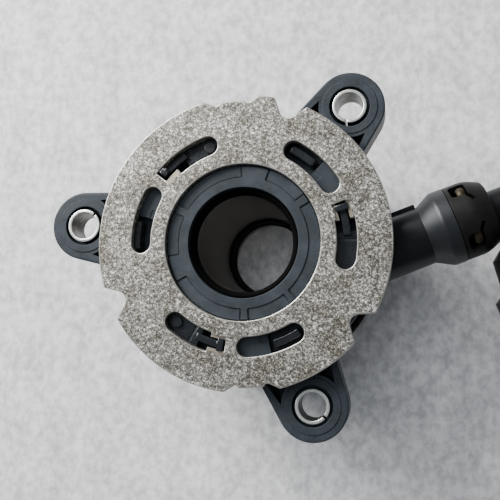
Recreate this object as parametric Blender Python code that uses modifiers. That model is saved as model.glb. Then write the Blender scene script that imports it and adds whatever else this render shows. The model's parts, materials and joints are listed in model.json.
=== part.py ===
"""Hydraulic clutch release bearing: a ring-shaped slave cylinder round the gearbox's input shaft.

Metres, +Z up. The part stands on its bearing's contact face, with the gearbox side up.
The origin is at the middle of the part's overall box, on the table.
The bearing's own axis stands at (AXIS_X, AXIS_Y), worked out below from the ears and the port.
"""
from math import acos, asin, atan2, cos, pi, radians, sin, sqrt, tan

import bmesh
import bpy
from mathutils import Matrix, Vector

# Clearance between pieces that fit or rest on each other
FIT = 0.0003
# How far a cutter reaches past the face that it opens
PAST = 0.001

# Heights above the bearing's contact face
FACE_HEIGHT = 0.0550
PORT_DROP = 0.0120
EAR_DROP = 0.0060
HUB_DROP = 0.0004

# Reinforcing plate
PLATE_THICKNESS = 0.0030
SLOT_WIDTH = 0.0051
SLOT_WEB = 0.00418
RIM_WEB = 0.00915
KEYED_SLOT_START = radians(109.4)
KEYED_SLOT_SWEEP = radians(31.4)
PLAIN_SLOT_START = radians(32.5)
PLAIN_SLOT_SWEEP = radians(27.4)
WINDOW_SWEEP = radians(9.5)
WINDOW_WIDTH = 0.0046
WINDOW_SLIT_WIDTH = 0.0028
LEDGE_DROP = 0.0012
LEDGE_LAP = radians(1.5)
NOTCH_ANGLES = (radians(70.4), radians(204.0), radians(324.6))
NOTCH_DEPTH = 0.0045
NOTCH_ROOT_RADIUS = 0.0024
NOTCH_HALF_OPENING = radians(38.0)
FLAT_ANGLES = (radians(94.1), radians(273.9))
FLAT_DEPTH = 0.0014
FLAT_HALF_LENGTH = 0.0032
RELIEF_RADIUS = 0.0011
RELIEF_DEPTH = 0.0022
RELIEF_RAMP_LENGTH = 0.0020
RELIEF_ANGLES = (radians(50), radians(90), radians(130))

# Cylinder housing
FLANGE_INSET = 0.0040
FLANGE_THICKNESS = 0.0057
SHOULDER_RADIUS = 0.0278
CHAMBER_WIDTH = 0.00555
CYLINDER_WALL = 0.0030
RIM_LAND = 0.0012
RIM_EDGE = 0.0006
HUB_EDGE = 0.0004
FLANGE_EDGE = 0.0008
SHOULDER_FILLET = 0.0015
SHOULDER_EDGE = 0.0006
CYLINDER_EDGE = 0.0006
CHAMBER_CORNER = 0.0006
CHAMBER_DEPTH = 0.0098
STEP_DEPTH = 0.0066
PAD_SHOULDER = 0.00285
PAD_LENGTH = 0.00247
PAD_DEPTH = 0.0003
PAD_SPANS = (
    (radians(37.5), radians(69.4)),
    (radians(91.0), radians(148.7)),
    (radians(156.0), radians(189.5)),
    (radians(210.0), radians(268.0)),
    (radians(274.6), radians(308.0)),
    (radians(313.7), radians(390.0)),
)
POCKET_DEPTH = 0.0046
POCKET_MARGIN = 0.0004
POCKET_LAP = radians(1.0)
SEAM_SHIFT = radians(11.0)
SEAM_SWEEP = radians(1.0)
PEG_RADIUS = 0.0015
PEG_RISE = 0.0012
ARM_WIDTH = 0.0020
ARM_SWEEP = radians(17.0)
ARM_TIP_LENGTH = 0.0019
ARM_ROOT = radians(1.0)
ARM_END_GAP = radians(1.2)
ARM_STEP = radians(0.4)
ARM_UNDERCUT = 0.0014
BARB_WIDTH = 0.0038
BARB_NECK_WIDTH = 0.0016
BARB_THICKNESS = 0.0006
BLOCK_SWEEP = radians(12.0)
BLOCK_DROP = 0.0009
BLOCK_NOTCH = 0.0019
BLOCK_NOTCH_SWEEP = radians(5.0)
BAR_WIDTH = 0.0013
BAR_SWEEP = radians(14.0)
BAR_GAP = radians(1.5)
BAR_POCKET_END = radians(6.0)
BAR_DROP = 0.0003
BAR_SHIFTS = (0.0006, 0.0020, -0.0006)

# Fixing ears and their sleeves
EAR_ANGLES = (radians(52.4), radians(172.4), radians(-67.6))
EAR_REACH = 0.0070
EAR_RADIUS = 0.0094
EAR_HEIGHT = 0.0094
EAR_ROOT_INSET = 0.0030
EAR_ROOT_HALF_WIDTH = 0.0110
EAR_WALL = 0.0018
EAR_FACE_RADIUS = 0.0074
EAR_FACE_RISE = 0.0005
EAR_POCKET_DEPTH = 0.0070
EAR_POCKET_ROOT = 0.0006
EAR_POCKET_END = radians(20.0)
EAR_SINK_RADIUS = 0.0056
EAR_SINK_DEPTH = 0.0008
SLEEVE_OUTER = 0.00455
SLEEVE_WALL = 0.00090
SLEEVE_LENGTH = 0.0098
SLEEVE_PROUD = 0.0002
SLEEVE_SPLIT = 0.0006
SLEEVE_SPLIT_ANGLES = (radians(257.0), radians(46.0), radians(-40.0))

# Hydraulic port and its quick connector
PORT_ANGLE = radians(20.0)
PORT_OFFSET = 0.0143
NECK_RADIUS = 0.0085
BULGE_RADIUS = 0.0101
NECK_ROOT = 0.0140
CONE_START = 0.0450
CONE_LENGTH = 0.0045
BULGE_LENGTH = 0.0045
NECK_SPIGOT_RADIUS = 0.0076
NECK_SPIGOT_LENGTH = 0.0027
NECK_SPIGOT_EDGE = 0.0003
BULGE_EDGE = 0.0004
BULGE_SHOULDER_EDGE = 0.0030
CONE_FILLET = 0.0020
SOCKET_DEPTH = 0.0069
CHANNEL_RADIUS = 0.0016
CHANNEL_END = 0.0100
COLLAR_RADIUS = 0.0100
COLLAR_LENGTH = 0.0100
COLLAR_END_WALL = 0.0020
COLLAR_EDGE = 0.0005
COLLAR_BACK_EDGE = 0.0003
CLIP_SETBACK = 0.0049
CLIP_WIRE = 0.0007
CLIP_CORNER_RADIUS = 0.0092
CLIP_BEND_RADIUS = 0.0018
CLIP_GROOVE_RADIUS = 0.0089
CLIP_TURN = radians(-57.0)
CLIP_GAP = 0.0016
COLLAR_WINDOW_WIDTH = 0.0056
COLLAR_WINDOW_LENGTH = 0.0036
COLLAR_TAIL_WIDTH = 0.0046
COLLAR_TAIL_LENGTH = 0.0011

# Line elbow that plugs into the port
ELBOW_SPIGOT_RADIUS = 0.0051
ELBOW_SPIGOT_SETBACK = 0.0007
ELBOW_FLANGE_RADIUS = 0.0073
ELBOW_FLANGE_WIDTH = 0.0011
ELBOW_RING_SETBACK = 0.0037
ELBOW_RING_RADIUS = 0.00435
ELBOW_RING_SECTION = 0.00072
ELBOW_RING_SLACK = 0.00018
ELBOW_SPIGOT_EDGE = 0.0004
ELBOW_REACH = 0.0095444
ELBOW_NECK = 0.0050
ELBOW_HEAD = 0.0140
ELBOW_RADIUS = 0.0081
ELBOW_LEG = 0.0390
ELBOW_END_EDGE = 0.0008
# Each ridge round the leg: distance from the bend, radius, run up before it and run down after it
RIDGES = ((0.0170, 0.0097, 0.0028, 0.0060), (0.0280, 0.0093, 0.0018, 0.0032))

# Guide tube, its seal and its retainer, and the shaft's wiper
TUBE_OUTER = 0.01345
TUBE_WALL = 0.0006
TUBE_TOP_DROP = 0.0057
TUBE_BOTTOM = 0.0020
TUBE_FLANGE_WIDTH = 0.00075
RETAINER_HEIGHT = 0.0018
RETAINER_INSET = 0.00015
RETAINER_EDGE = 0.0002
O_RING_SECTION = 0.00068
O_RING_GROOVE_DEPTH = 0.00165
O_RING_GROOVE_HEIGHT = 0.0016
O_RING_GROOVE_DROP = 0.0072
WIPER_LIP_WIDTH = 0.0016
WIPER_HEIGHT = 0.0040
WIPER_WALL = 0.0008
WIPER_LIP = 0.0010

# Moving pieces: piston, seal, carrier and bearing
# How the chamber's length is shared by the piston's travel and its body
TRAVEL_SHARE = 80 / 297
PISTON_SHARE = 134 / 297
CARRIER_TOP = 0.0152
CARRIER_THICKNESS = 0.0015
CARRIER_BORE_STEP = 0.0005
CARRIER_SKIRT_WALL = 0.0017
CARRIER_SKIRT_BOTTOM = 0.0018
CARRIER_LIP_WIDTH = 0.0025
CARRIER_LIP_WALL = 0.0012
CARRIER_LIP_TOP = 0.0175
CARRIER_EDGE = 0.0006
PISTON_FLANGE_WIDTH = 0.0035
PISTON_FLANGE = 0.0018
PISTON_EDGE = 0.0004
SEAL_HEIGHT = 0.0036
SEAL_GROOVE = 0.0016
SEAL_LIP = 0.0012
SEAL_LIP_ROOT = 0.00168
RACE_TOP = 0.0134
OUTER_RACE_BOTTOM = 0.0038
OUTER_RACE_WIDTH = 0.0070
OUTER_RACE_EDGE = 0.0004
LAND_SHARE = 31 / 33
TUBE_ROOM = 0.00255
INNER_RACE_WIDTH = 0.0080
CONTACT_FLANGE_WIDTH = 0.0050
CONTACT_THICKNESS = 0.0028
CONTACT_CROWN = 0.0007
BALL_COUNT = 13
BALL_RADIUS = 0.0030
BALL_HEIGHT = 0.0084
CAGE_WALL = 0.0016
CAGE_HEIGHT = 0.0068
SHIELD_THICKNESS = 0.0006
SNAP_WIRE = 0.0006
SNAP_GAP = radians(14.0)

# Preload spring
SPRING_WIRE = 0.0012
SPRING_BOTTOM_SPREAD = 0.0060
SPRING_TOP_CLEARANCE = 0.0030
SPRING_TURNS = 4.5
SPRING_FLAT_TURNS = 0.75
SPRING_POINTS_PER_TURN = 14

# How finely round shapes are cut into flats
FINE = 48
PLAIN = 28
COARSE = 20
SMALL = 12
ARC_STEP = radians(6)
TIP_STEP = radians(36)
EAR_STEP = radians(15)
SLEEVE_STEP = radians(18)
CLIP_STEP = radians(22.5)
SNAP_STEP = radians(12)
CORNER_STEPS = (radians(30), radians(60))
BALL_SEGMENTS = 8
BALL_RINGS = 6
SECTION_STEPS = 6
GROOVE_STEPS = 4
SMOOTH_ANGLE = radians(35)
WIRE_SMOOTH_ANGLE = radians(60)
WIRE_RESOLUTION = 1
# A bore is cut with its flats turned a little from those of the piece round it
SEAM_TURN = radians(7)

# Heights and radii that follow from the sizes above
PLATE_UNDERSIDE = FACE_HEIGHT - PLATE_THICKNESS
HUB_TOP = FACE_HEIGHT - HUB_DROP
FLANGE_TOP = PLATE_UNDERSIDE - FIT
FLANGE_BOTTOM = FLANGE_TOP - FLANGE_THICKNESS
PORT_HEIGHT = FACE_HEIGHT - PORT_DROP
SHOULDER_BOTTOM = PORT_HEIGHT - NECK_RADIUS - FIT
CHAMBER_TOP = FACE_HEIGHT - CHAMBER_DEPTH
STEP_HEIGHT = FACE_HEIGHT - STEP_DEPTH
EAR_TOP = FACE_HEIGHT - EAR_DROP - EAR_FACE_RISE
TUBE_TOP = FACE_HEIGHT - TUBE_TOP_DROP
PISTON_BOTTOM = CARRIER_TOP + FIT
CHAMBER_ROOM = CHAMBER_TOP - PISTON_BOTTOM
TRAVEL = CHAMBER_ROOM * TRAVEL_SHARE
PISTON_LENGTH = CHAMBER_ROOM * PISTON_SHARE
PISTON_FLANGE_TOP = PISTON_BOTTOM + PISTON_FLANGE
PISTON_TOP = PISTON_BOTTOM + PISTON_LENGTH
SEAL_BOTTOM = PISTON_TOP + FIT
CYLINDER_BOTTOM = PISTON_FLANGE_TOP + TRAVEL + FIT
POCKET_FLOOR = FLANGE_TOP - POCKET_DEPTH

# Stations along the port, laid out from where its cone starts
CONE_END = CONE_START + CONE_LENGTH
BULGE_END = CONE_END + BULGE_LENGTH
NECK_SPIGOT_END = BULGE_END + NECK_SPIGOT_LENGTH
SOCKET_START = NECK_SPIGOT_END - SOCKET_DEPTH
COLLAR_END = BULGE_END + COLLAR_LENGTH
CLIP_STATION = COLLAR_END - CLIP_SETBACK
ELBOW_SPIGOT_START = SOCKET_START + ELBOW_SPIGOT_SETBACK
ELBOW_FLANGE_START = NECK_SPIGOT_END + FIT
ELBOW_RING_STATION = SOCKET_START + ELBOW_RING_SETBACK
ELBOW_STATION = COLLAR_END + ELBOW_REACH

# Radii, laid out from the guide tube outwards
TUBE_INNER = TUBE_OUTER - TUBE_WALL
TUBE_HOLE = TUBE_OUTER + FIT
TUBE_FLANGE_RADIUS = TUBE_OUTER + TUBE_FLANGE_WIDTH
RETAINER_INNER = TUBE_OUTER + RETAINER_INSET
WIPER_LIP_RADIUS = TUBE_INNER - WIPER_LIP_WIDTH
CYLINDER_BORE = TUBE_OUTER + CHAMBER_WIDTH
CYLINDER_OUTER = CYLINDER_BORE + CYLINDER_WALL
RIM_RADIUS = TUBE_OUTER + RIM_LAND
PAD_INNER_RADIUS = RIM_RADIUS + PAD_SHOULDER
HUB_RADIUS = PAD_INNER_RADIUS + PAD_LENGTH
PLATE_HOLE_RADIUS = HUB_RADIUS + 2 * FIT
SLOT_RADIUS = PLATE_HOLE_RADIUS + SLOT_WEB + SLOT_WIDTH / 2
PLATE_RADIUS = SLOT_RADIUS + SLOT_WIDTH / 2 + RIM_WEB
NOTCH_FLOOR_RADIUS = PLATE_RADIUS - NOTCH_DEPTH
FLAT_DISTANCE = PLATE_RADIUS - FLAT_DEPTH
RELIEF_FLOOR = PLATE_RADIUS - RELIEF_DEPTH
FLANGE_RADIUS = PLATE_RADIUS - FLANGE_INSET
EAR_ROOT_RADIUS = FLANGE_RADIUS - EAR_ROOT_INSET
EAR_PITCH_RADIUS = PLATE_RADIUS + EAR_REACH
PISTON_FLANGE_RADIUS = CYLINDER_BORE + PISTON_FLANGE_WIDTH
INNER_BORE = TUBE_OUTER + TUBE_ROOM
CARRIER_BORE = INNER_BORE + CARRIER_BORE_STEP
BALL_PITCH = INNER_BORE + INNER_RACE_WIDTH
INNER_LAND_RADIUS = BALL_PITCH - LAND_SHARE * (BALL_RADIUS + FIT)
OUTER_LAND_RADIUS = BALL_PITCH + LAND_SHARE * (BALL_RADIUS + FIT)
OUTER_RACE_RADIUS = BALL_PITCH + OUTER_RACE_WIDTH
CONTACT_RADIUS = BALL_PITCH + CONTACT_FLANGE_WIDTH
SKIRT_INNER = OUTER_RACE_RADIUS + FIT
SKIRT_OUTER = SKIRT_INNER + CARRIER_SKIRT_WALL
CARRIER_LIP_RADIUS = SKIRT_OUTER + CARRIER_LIP_WIDTH
SPRING_BOTTOM_RADIUS = BALL_PITCH + SPRING_BOTTOM_SPREAD
SPRING_TOP_RADIUS = CYLINDER_OUTER + SPRING_TOP_CLEARANCE
SOCKET_RADIUS = ELBOW_SPIGOT_RADIUS + FIT
PORT_DIRECTION = Vector((cos(PORT_ANGLE), sin(PORT_ANGLE), 0))
PORT_FOOT = Vector((sin(PORT_ANGLE), -cos(PORT_ANGLE), 0)) * PORT_OFFSET
ELBOW_CORNER = PORT_FOOT + PORT_DIRECTION * ELBOW_STATION + Vector((0, 0, PORT_HEIGHT))
ELBOW_X = ELBOW_CORNER.x

# The overall box, seen from above and measured from the bearing's axis, puts that axis in place
EAR_CENTRES = [Vector((cos(a), sin(a), 0)) * EAR_PITCH_RADIUS for a in EAR_ANGLES]
BOX_LEFT = min(centre.x for centre in EAR_CENTRES) - EAR_RADIUS
BOX_RIGHT = ELBOW_X + max(ridge[1] for ridge in RIDGES)
BOX_BACK = max(centre.y for centre in EAR_CENTRES) + EAR_RADIUS
BOX_FRONT = min(centre.y for centre in EAR_CENTRES) - EAR_RADIUS
AXIS_X = -(BOX_LEFT + BOX_RIGHT) / 2
AXIS_Y = -(BOX_BACK + BOX_FRONT) / 2
AXIS = Vector((AXIS_X, AXIS_Y, 0))


def clear_scene():
    """Removes what the file holds, so that the part starts from nothing."""
    for item in list(bpy.data.objects):
        bpy.data.objects.remove(item, do_unlink=True)


def make_collection(name):
    """Returns a new collection linked into the scene."""
    collection = bpy.data.collections.new(name)
    bpy.context.scene.collection.children.link(collection)
    return collection


def material(name, colour, roughness, metallic=0.0):
    """Returns a Principled material of one colour."""
    made = bpy.data.materials.new(name)
    made.use_nodes = True
    shader = made.node_tree.nodes["Principled BSDF"]
    shader.inputs["Base Color"].default_value = (*colour, 1.0)
    shader.inputs["Roughness"].default_value = roughness
    shader.inputs["Metallic"].default_value = metallic
    return made


def finish(item, look, smooth_angle=SMOOTH_ANGLE):
    """Gives a piece its material, smooth round faces and its place in the part's collection."""
    item.data.materials.clear()
    item.data.materials.append(look)
    item.data.shade_smooth()
    item.data.set_sharp_from_angle(angle=smooth_angle)
    return item


def as_cutter(item):
    """Moves a shape among the cutters, where it only serves other shapes."""
    for collection in list(item.users_collection):
        collection.objects.unlink(item)
    CUTTERS.objects.link(item)
    item.hide_render = True
    item.display_type = "WIRE"
    return item


def boolean(item, tool, operation):
    """Adds an exact Boolean with a tool shape, which then counts as a cutter."""
    as_cutter(tool)
    step = item.modifiers.new(f"{operation.lower()}_{tool.name}", "BOOLEAN")
    step.operation = operation
    step.object = tool
    step.solver = "EXACT"
    return item


def cut(item, *tools):
    """Cuts tool shapes out of a piece."""
    for tool in tools:
        boolean(item, tool, "DIFFERENCE")
    return item


def join(item, *tools):
    """Joins tool shapes to a piece."""
    for tool in tools:
        boolean(item, tool, "UNION")
    return item


def rounded(points, closed):
    """Returns a profile's points, with an arc at each corner that names a radius."""
    result = []
    count = len(points)
    for index, point in enumerate(points):
        radius = point[2] if len(point) > 2 else 0
        here = Vector(point[:2])
        if not radius or (not closed and index in (0, count - 1)):
            result.append(here)
            continue
        before = (Vector(points[index - 1][:2]) - here).normalized()
        after = (Vector(points[(index + 1) % count][:2]) - here).normalized()
        half = acos(max(-1.0, min(1.0, before.dot(after)))) / 2
        centre = here + (before + after).normalized() * radius / sin(half)
        start = here + before * radius / tan(half) - centre
        end = here + after * radius / tan(half) - centre
        turn = start.angle_signed(end)
        for angle in (0, -turn):
            arm = Vector((start.x * cos(angle) - start.y * sin(angle),
                          start.x * sin(angle) + start.y * cos(angle)))
            result.append(centre + arm)
    return result


def turned(name, profile, steps=PLAIN, closed=True, place=None):
    """Turns a profile of (radius, height) points round Z, outer side first from the top down.

    An open profile starts and ends on the axis.
    """
    corners = rounded(profile, closed)
    mesh = bpy.data.meshes.new(name)
    links = [(index, index + 1) for index in range(len(corners) - 1)]
    if closed:
        links.append((len(corners) - 1, 0))
    mesh.from_pydata([(corner.x, 0, corner.y) for corner in corners], links, [])
    item = bpy.data.objects.new(name, mesh)
    PARTS.objects.link(item)
    item.matrix_world = place or Matrix.Translation(AXIS)
    screw = item.modifiers.new("turn", "SCREW")
    screw.steps = steps
    screw.render_steps = steps
    screw.use_merge_vertices = True
    screw.merge_threshold = 0.00001
    screw.use_smooth_shade = True
    return item


def meshed(curve_item):
    """Returns a curve's shape as a welded mesh object in the curve's place."""
    bpy.context.view_layer.update()
    evaluated = curve_item.evaluated_get(bpy.context.evaluated_depsgraph_get())
    mesh = bpy.data.meshes.new_from_object(evaluated)
    work = bmesh.new()
    work.from_mesh(mesh)
    bmesh.ops.remove_doubles(work, verts=work.verts, dist=0.00001)
    bmesh.ops.recalc_face_normals(work, faces=work.faces)
    work.to_mesh(mesh)
    work.free()
    item = bpy.data.objects.new(curve_item.name, mesh)
    item.matrix_world = curve_item.matrix_world.copy()
    PARTS.objects.link(item)
    name = curve_item.name
    curve_data = curve_item.data
    bpy.data.objects.remove(curve_item, do_unlink=True)
    bpy.data.curves.remove(curve_data)
    item.name = name
    return item


def slab(name, loops, bottom, top):
    """Returns a flat outline with its holes, standing from bottom to top on the bearing's axis."""
    curve = bpy.data.curves.new(name, "CURVE")
    curve.dimensions = "2D"
    curve.fill_mode = "BOTH"
    curve.extrude = (top - bottom) / 2
    for loop in loops:
        spline = curve.splines.new("POLY")
        spline.points.add(len(loop) - 1)
        for point, corner in zip(spline.points, loop):
            point.co = (corner[0], corner[1], 0, 1)
        spline.use_cyclic_u = True
    item = bpy.data.objects.new(name, curve)
    item.matrix_world = Matrix.Translation(AXIS + Vector((0, 0, (bottom + top) / 2)))
    PARTS.objects.link(item)
    return meshed(item)


def wire(name, points, radius, closed=False, place=None):
    """Returns a bent round wire as a welded mesh."""
    curve = bpy.data.curves.new(name, "CURVE")
    curve.dimensions = "3D"
    curve.bevel_depth = radius
    curve.bevel_resolution = WIRE_RESOLUTION
    curve.use_fill_caps = True
    spline = curve.splines.new("POLY")
    spline.points.add(len(points) - 1)
    for point, corner in zip(spline.points, points):
        point.co = (*corner, 1)
    spline.use_cyclic_u = closed
    item = bpy.data.objects.new(name, curve)
    item.matrix_world = place or Matrix.Translation(AXIS)
    PARTS.objects.link(item)
    return meshed(item)


def block(name, size, place):
    """Returns a box of a given size, centred on a place's origin and turned with it."""
    mesh = bpy.data.meshes.new(name)
    work = bmesh.new()
    bmesh.ops.create_cube(work, size=1.0)
    bmesh.ops.scale(work, vec=size, verts=work.verts)
    work.to_mesh(mesh)
    work.free()
    item = bpy.data.objects.new(name, mesh)
    item.matrix_world = place
    PARTS.objects.link(item)
    return item


def arc(radius, start, end, step=ARC_STEP, centre=(0, 0)):
    """Returns the points of an arc, both ends included."""
    count = max(1, round(abs(end - start) / step))
    angles = [start + (end - start) * index / count for index in range(count + 1)]
    return [(centre[0] + radius * cos(a), centre[1] + radius * sin(a)) for a in angles]


def circle(radius, steps=FINE, centre=(0, 0)):
    """Returns the points of a full circle."""
    return arc(radius, 0, 2 * pi, 2 * pi / steps, centre)[:-1]


def polar(radius, angle):
    """Returns a point at a radius and an angle."""
    return (radius * cos(angle), radius * sin(angle))


def sector(radius, width, start, end):
    """Returns the outline of a bent strip with square ends."""
    outer = arc(radius + width / 2, start, end)
    inner = arc(radius - width / 2, end, start)
    return outer + inner


def slot(radius, width, start, end):
    """Returns the outline of a bent strip with round ends."""
    outer = arc(radius + width / 2, start, end)
    far = arc(width / 2, end, end + pi, TIP_STEP, polar(radius, end))[1:-1]
    inner = arc(radius - width / 2, end, start)
    near = arc(width / 2, start + pi, start + 2 * pi, TIP_STEP, polar(radius, start))[1:-1]
    return outer + far + inner + near


def turn_points(points, angle):
    """Turns points given as (outwards, sideways) to a direction round the axis."""
    return [(u * cos(angle) - v * sin(angle), u * sin(angle) + v * cos(angle)) for u, v in points]


def notch_points(radius):
    """Returns a rim notch as (outwards, sideways) points, with a round root."""
    centre = NOTCH_FLOOR_RADIUS + NOTCH_ROOT_RADIUS
    along = Vector((cos(NOTCH_HALF_OPENING), sin(NOTCH_HALF_OPENING)))
    foot = Vector((centre, 0)) + Vector((-along.y, along.x)) * NOTCH_ROOT_RADIUS
    reach = -foot.dot(along) + sqrt(foot.dot(along) ** 2 - foot.dot(foot) + radius ** 2)
    mouth = foot + along * reach
    start = pi / 2 + NOTCH_HALF_OPENING
    root = arc(NOTCH_ROOT_RADIUS, 2 * pi - start, start, TIP_STEP, (centre, 0))
    return [(mouth.x, -mouth.y)] + root + [(mouth.x, mouth.y)]


def flat_points(radius):
    """Returns a locating flat with a relief at each end, as (outwards, sideways) points."""
    middle = RELIEF_FLOOR + RELIEF_RADIUS
    side = FLAT_HALF_LENGTH + RELIEF_RADIUS
    ramp = side + RELIEF_RADIUS + RELIEF_RAMP_LENGTH
    lean = asin((middle - FLAT_DISTANCE) / RELIEF_RADIUS)
    half = [(FLAT_DISTANCE, side - RELIEF_RADIUS * cos(lean))]
    half += [(middle - RELIEF_RADIUS * sin(a), side - RELIEF_RADIUS * cos(a))
             for a in RELIEF_ANGLES]
    half.append((sqrt(radius ** 2 - ramp ** 2), ramp))
    return [(u, -v) for u, v in reversed(half)] + half


def plate_outline():
    """Returns the reinforcing plate's rim: a circle with its notches and locating flats."""
    features = [(angle, notch_points(PLATE_RADIUS)) for angle in NOTCH_ANGLES]
    features += [(angle, flat_points(PLATE_RADIUS)) for angle in FLAT_ANGLES]
    features.sort(key=lambda feature: feature[0])
    outline = []
    for index, (angle, points) in enumerate(features):
        outline += turn_points(points, angle)
        half = atan2(points[-1][1], points[-1][0])
        after, next_points = features[(index + 1) % len(features)]
        next_half = atan2(next_points[-1][1], next_points[-1][0])
        gap_end = after - next_half + (2 * pi if index + 1 == len(features) else 0)
        outline += arc(PLATE_RADIUS, angle + half, gap_end)[1:-1]
    return outline


def keyed_slots():
    """Returns each keyed slot's start and end angle."""
    starts = [KEYED_SLOT_START + index * 2 * pi / 3 for index in range(3)]
    return [(start, start + KEYED_SLOT_SWEEP) for start in starts]


def plain_slots():
    """Returns each plain slot's start and end angle."""
    starts = [PLAIN_SLOT_START + index * 2 * pi / 3 for index in range(3)]
    return [(start, start + PLAIN_SLOT_SWEEP) for start in starts]


def make_plate(look):
    """The steel plate: rim with notches and flats, six bent slots, three of them with ledges."""
    loops = [plate_outline(), circle(PLATE_HOLE_RADIUS)]
    for start, end in plain_slots():
        loops.append(slot(SLOT_RADIUS, SLOT_WIDTH, start, end))
    for start, end in keyed_slots():
        narrow = end - WINDOW_SWEEP
        tip = arc(SLOT_WIDTH / 2, start + pi, start + 2 * pi, TIP_STEP, polar(SLOT_RADIUS, start))
        loops.append(
            arc(SLOT_RADIUS + SLOT_WIDTH / 2, start, narrow)
            + arc(SLOT_RADIUS + WINDOW_SLIT_WIDTH / 2, narrow, end)
            + arc(SLOT_RADIUS - WINDOW_SLIT_WIDTH / 2, end, narrow)
            + arc(SLOT_RADIUS - SLOT_WIDTH / 2, narrow, start)
            + tip[1:-1]
        )
    plate = slab("reinforcing_plate", loops, PLATE_UNDERSIDE, FACE_HEIGHT)
    for index, (start, end) in enumerate(keyed_slots()):
        window = sector(SLOT_RADIUS, WINDOW_WIDTH, end - WINDOW_SWEEP - LEDGE_LAP, end)
        ledge = slab(f"cut_ledge_{index + 1}", [window], FACE_HEIGHT - LEDGE_DROP, FACE_HEIGHT + PAST)
        cut(plate, ledge)
    return finish(plate, look)


def port_place(station=0.0):
    """Returns the frame on the port's axis, its Z along the port and its X level."""
    side = Vector((-PORT_DIRECTION.y, PORT_DIRECTION.x, 0))
    turn = Matrix((side, Vector((0, 0, 1)), PORT_DIRECTION)).transposed().to_4x4()
    origin = AXIS + PORT_FOOT + PORT_DIRECTION * station + Vector((0, 0, PORT_HEIGHT))
    return Matrix.Translation(origin) @ turn


def ear_outline(margin=0.0):
    """Returns an ear seen from above, as (outwards, sideways) points, pulled in by a margin."""
    tip = EAR_RADIUS - margin
    root = EAR_ROOT_HALF_WIDTH - margin
    lean = asin((root - tip) / (EAR_PITCH_RADIUS - EAR_ROOT_RADIUS))
    head = arc(tip, -pi / 2 + lean, pi / 2 - lean, EAR_STEP, (EAR_PITCH_RADIUS, 0))
    foot_u = EAR_ROOT_RADIUS + root * sin(lean)
    inner = CYLINDER_OUTER
    return [(inner, -root * cos(lean)), (foot_u, -root * cos(lean))] + head + [
        (foot_u, root * cos(lean)), (inner, root * cos(lean))]


def ear_pocket(side):
    """Returns the hollow between an ear's boss and one side wall, as (outwards, sideways) points."""
    boss = EAR_FACE_RADIUS + EAR_WALL / 2
    wall = EAR_RADIUS - EAR_WALL
    reach = asin(wall / boss)
    round_part = arc(boss, pi - reach, pi - EAR_POCKET_END, EAR_STEP, (EAR_PITCH_RADIUS, 0))
    near = FLANGE_RADIUS + EAR_POCKET_ROOT
    corner = EAR_ROOT_HALF_WIDTH - EAR_WALL
    points = [(near, corner)] + round_part + [(near, round_part[-1][1])]
    return [(u, v * side) for u, v in points]


def ear_shapes(index, angle):
    """Returns the solid and the cutters of one fixing ear."""
    bottom = EAR_TOP - EAR_HEIGHT
    number = index + 1
    body = slab(f"add_ear_{number}", [turn_points(ear_outline(), angle)], bottom, EAR_TOP)
    centre = polar(EAR_PITCH_RADIUS, angle)
    face = slab(f"add_ear_face_{number}", [circle(EAR_FACE_RADIUS, COARSE, centre)],
                bottom + EAR_FACE_RISE, EAR_TOP + EAR_FACE_RISE)
    hole = slab(f"cut_ear_hole_{number}", [circle(SLEEVE_OUTER + FIT, COARSE, centre)],
                bottom - PAST, EAR_TOP + PAST)
    top = EAR_TOP + EAR_FACE_RISE
    sink = slab(f"cut_ear_sink_{number}", [circle(EAR_SINK_RADIUS, COARSE, centre)],
                top - EAR_SINK_DEPTH, top + PAST)
    pockets = [slab(f"cut_ear_pocket_{number}_{name}", [turn_points(ear_pocket(side), angle)],
                    EAR_TOP - EAR_POCKET_DEPTH, EAR_TOP + PAST)
               for name, side in (("left", 1), ("right", -1))]
    return [body, face], [hole, sink] + pockets


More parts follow.
